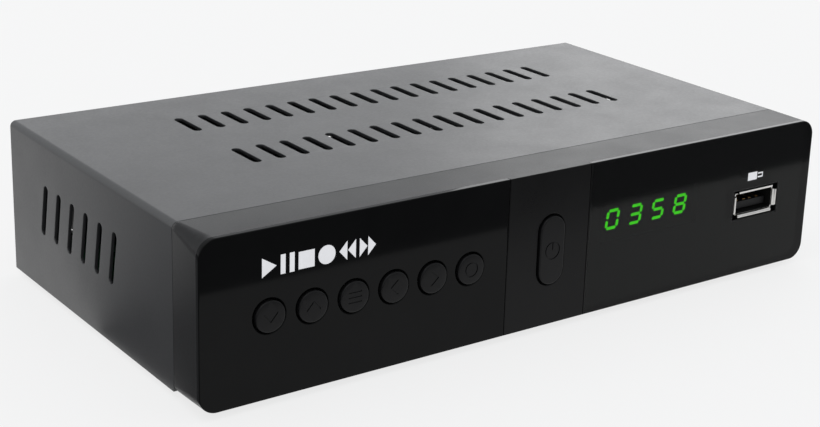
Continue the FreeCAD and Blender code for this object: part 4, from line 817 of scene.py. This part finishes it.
def make_lip(shape, middle, turn, reach, half_side, flare, gauge, front):
    """One flared lip, bowed outwards from the tube's edge, turned about the socket's middle."""
    x, z = middle
    quarter = turn * math.pi / 2
    cosine, sine = math.cos(quarter), math.sin(quarter)

    def spot(side, rise, depth):
        across_x, up_z = side * cosine + rise * sine, -side * sine + rise * cosine
        return shape.mesh.verts.new((x + across_x, depth, z + up_z))

    rows = []
    for share in np.linspace(0, 1, 6):
        rise = reach + flare * (1 - math.cos(share * math.pi / 2))
        depth = front - (front - FRONT_Y) * math.sin(share * math.pi / 2)
        narrow = half_side - 0.12 * MM * share
        inner_depth = depth + 0.02 * MM * (1 - share)
        rows.append([spot(-narrow, rise, depth), spot(narrow, rise, depth),
                     spot(narrow, rise - gauge, inner_depth), spot(-narrow, rise - gauge, inner_depth)])
    for one, two in zip(rows, rows[1:]):
        shape.wall(one, two)
    shape.mesh.faces.new(rows[0])
    shape.mesh.faces.new(rows[-1])


# ------------------------------------------------------------------ round rear parts

def lathed(name, node, centre, profile):
    """A ring turned about an axis that points to the rear; profile holds (radius, y) pairs."""
    shape = Shape()
    rings = shape.stack([circle(centre, radius) for radius, _ in profile], [across(y) for _, y in profile])
    shape.wall(rings[-1], rings[0])
    piece = shape.piece(name, NODE_BODY[node], NODE_SLOT[node], sharp=34)
    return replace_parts(piece, node)


def make_jacks():
    """The two aerial barrels with their rolled threads."""
    for node in ("aerial_input_jack", "aerial_loop_jack"):
        low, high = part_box(node)
        centre = ((low.x + high.x) / 2, (low.z + high.z) / 2)
        root = (high.x - low.x) / 2
        start = high.y - THREAD_LENGTH
        profile = [(BARREL_BORE, low.y), (root, low.y), (root, start), (BARREL_RADIUS, start)]
        y = start + THREAD_LEAD
        valley = BARREL_RADIUS - THREAD_DEPTH
        while y < high.y - THREAD_RUNOUT:
            profile += [(BARREL_RADIUS, y), (BARREL_RADIUS, y + THREAD_LAND),
                        (valley, y + THREAD_LAND + THREAD_FLANK),
                        (valley, y + 2 * THREAD_LAND + THREAD_FLANK)]
            y += THREAD_PITCH
        inset, setback = BARREL_NOSE
        profile += [(BARREL_RADIUS - 0.1 * MM, high.y - setback), (BARREL_RADIUS - inset, high.y),
                    (BARREL_BORE + 0.1 * MM, high.y), (BARREL_BORE, high.y - 0.1 * MM)]
        lathed(node + "_threaded", node, centre, profile)


def make_sound_socket():
    """The plated sleeve of the sound socket, with a rolled rim."""
    low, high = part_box("coax_sleeve")
    centre = ((low.x + high.x) / 2, (low.z + high.z) / 2)
    outer = (high.x - low.x) / 2
    bore = outer - SLEEVE_WALL
    lathed("sound_sleeve", "coax_sleeve", centre,
           [(bore, low.y), (outer, low.y), (outer, high.y - 0.25 * MM),
            (outer - 0.07 * MM, high.y - 0.08 * MM), (outer - 0.25 * MM, high.y),
            (bore + 0.2 * MM, high.y), (bore, high.y - 0.15 * MM)])


# ------------------------------------------------------------------ stage

def make_stage():
    """A pale floor that runs out of sight, and soft lights."""
    scene = bpy.context.scene
    scene.view_settings.view_transform = "Standard"
    floor_shape = bmesh.new()
    bmesh.ops.create_grid(floor_shape, x_segments=1, y_segments=1, size=6)
    data = bpy.data.meshes.new("floor")
    floor_shape.to_mesh(data)
    floor_shape.free()
    floor = bpy.data.objects.new("floor", data)
    scene.collection.objects.link(floor)
    made, _, _, surface = shader("floor_pale")
    surface.inputs["Base Color"].default_value = (0.16, 0.16, 0.16, 1)
    surface.inputs["Roughness"].default_value = 0.9
    surface.inputs["Specular IOR Level"].default_value = 0.0
    surface.inputs["Emission Color"].default_value = (1.0, 1.0, 1.0, 1)
    surface.inputs["Emission Strength"].default_value = 0.77
    data.materials.append(made)
    make_card()

    world = bpy.data.worlds.new("studio")
    scene.world = world
    world.use_nodes = True
    sky = world.node_tree.nodes["Background"]
    sky.inputs["Color"].default_value = (0.95, 0.97, 1.0, 1)
    sky.inputs["Strength"].default_value = 0.78

    def softbox(name, spot, size, power):
        light = bpy.data.lights.new(name, "AREA")
        light.shape = "RECTANGLE"
        light.size, light.size_y = size
        light.energy = power
        lamp = bpy.data.objects.new(name, light)
        scene.collection.objects.link(lamp)
        lamp.location = spot
        lamp.rotation_euler = (-Vector(spot)).to_track_quat("-Z", "Y").to_euler()

    softbox("key_light", (-0.5, -0.3, 1.2), (0.9, 0.9), 3)
    softbox("side_light", (1.25, 0.75, 0.6), (1.2, 0.8), 4.6)
    softbox("rear_light", (0.25, 1.5, 0.28), (1.4, 0.35), 1.6)


def make_card():
    """A dark card before the front and beside the left, seen only in reflections."""
    shape = bmesh.new()
    corners = [(-1.2, -1.4), (1.6, -1.4), (1.6, CARD_EDGE), (CARD_SIDE, CARD_EDGE), (CARD_SIDE, 0),
               (-0.3, CARD_END), (-1.2, CARD_END)]
    shape.faces.new([shape.verts.new((x, y, CARD_LIFT)) for x, y in corners])
    data = bpy.data.meshes.new("card")
    shape.to_mesh(data)
    shape.free()
    card = bpy.data.objects.new("card", data)
    bpy.context.scene.collection.objects.link(card)
    made, _, _, surface = shader("card_dark")
    surface.inputs["Base Color"].default_value = (0.22, 0.22, 0.225, 1)
    surface.inputs["Roughness"].default_value = 0.9
    surface.inputs["Specular IOR Level"].default_value = 0.0
    data.materials.append(made)
    card.visible_camera = False
    card.visible_diffuse = False
    card.visible_shadow = False
    card.visible_transmission = False


def make_camera():
    """The camera, from the left and a little above."""
    data = bpy.data.cameras.new("camera")
    camera = bpy.data.objects.new("camera", data)
    bpy.context.scene.collection.objects.link(camera)
    data.sensor_width = 36
    data.lens = 72.78
    data.shift_x = -0.0976
    data.shift_y = -0.0774
    data.clip_start = 0.01
    right = Vector((0.79330, -0.60733, 0.04277))
    up = Vector((0.14616, 0.25817, 0.95498))
    back = right.cross(up)
    spot = Vector((-0.222757, SEAM_Y - 0.275024, COVER_LOW.z + 0.146262))
    camera.matrix_world = Matrix.Translation(spot) @ Matrix((right, up, back)).transposed().to_4x4()
    bpy.context.scene.camera = camera


make_camera()
make_stage()
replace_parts(make_cover(), "top_cover")
make_plates()
for key_node in [node for node in NODES if node.startswith("key_") or node == "power_key"]:
    make_key(key_node)
make_prints()
make_bars()
make_usb()
make_jacks()
make_sound_socket()
refined("bezel_frame", EDGE, kept=lambda spot: abs(spot.y - PLATE_BACK_Y) < 1e-5)
refined("base_chassis", 0.1 * MM)
refined("rubber_feet", 0.25 * MM)
for node, thing in NODES.items():
    if not thing.hide_render:
        refined(node, SOFTNESS.get(node, 0.06 * MM))
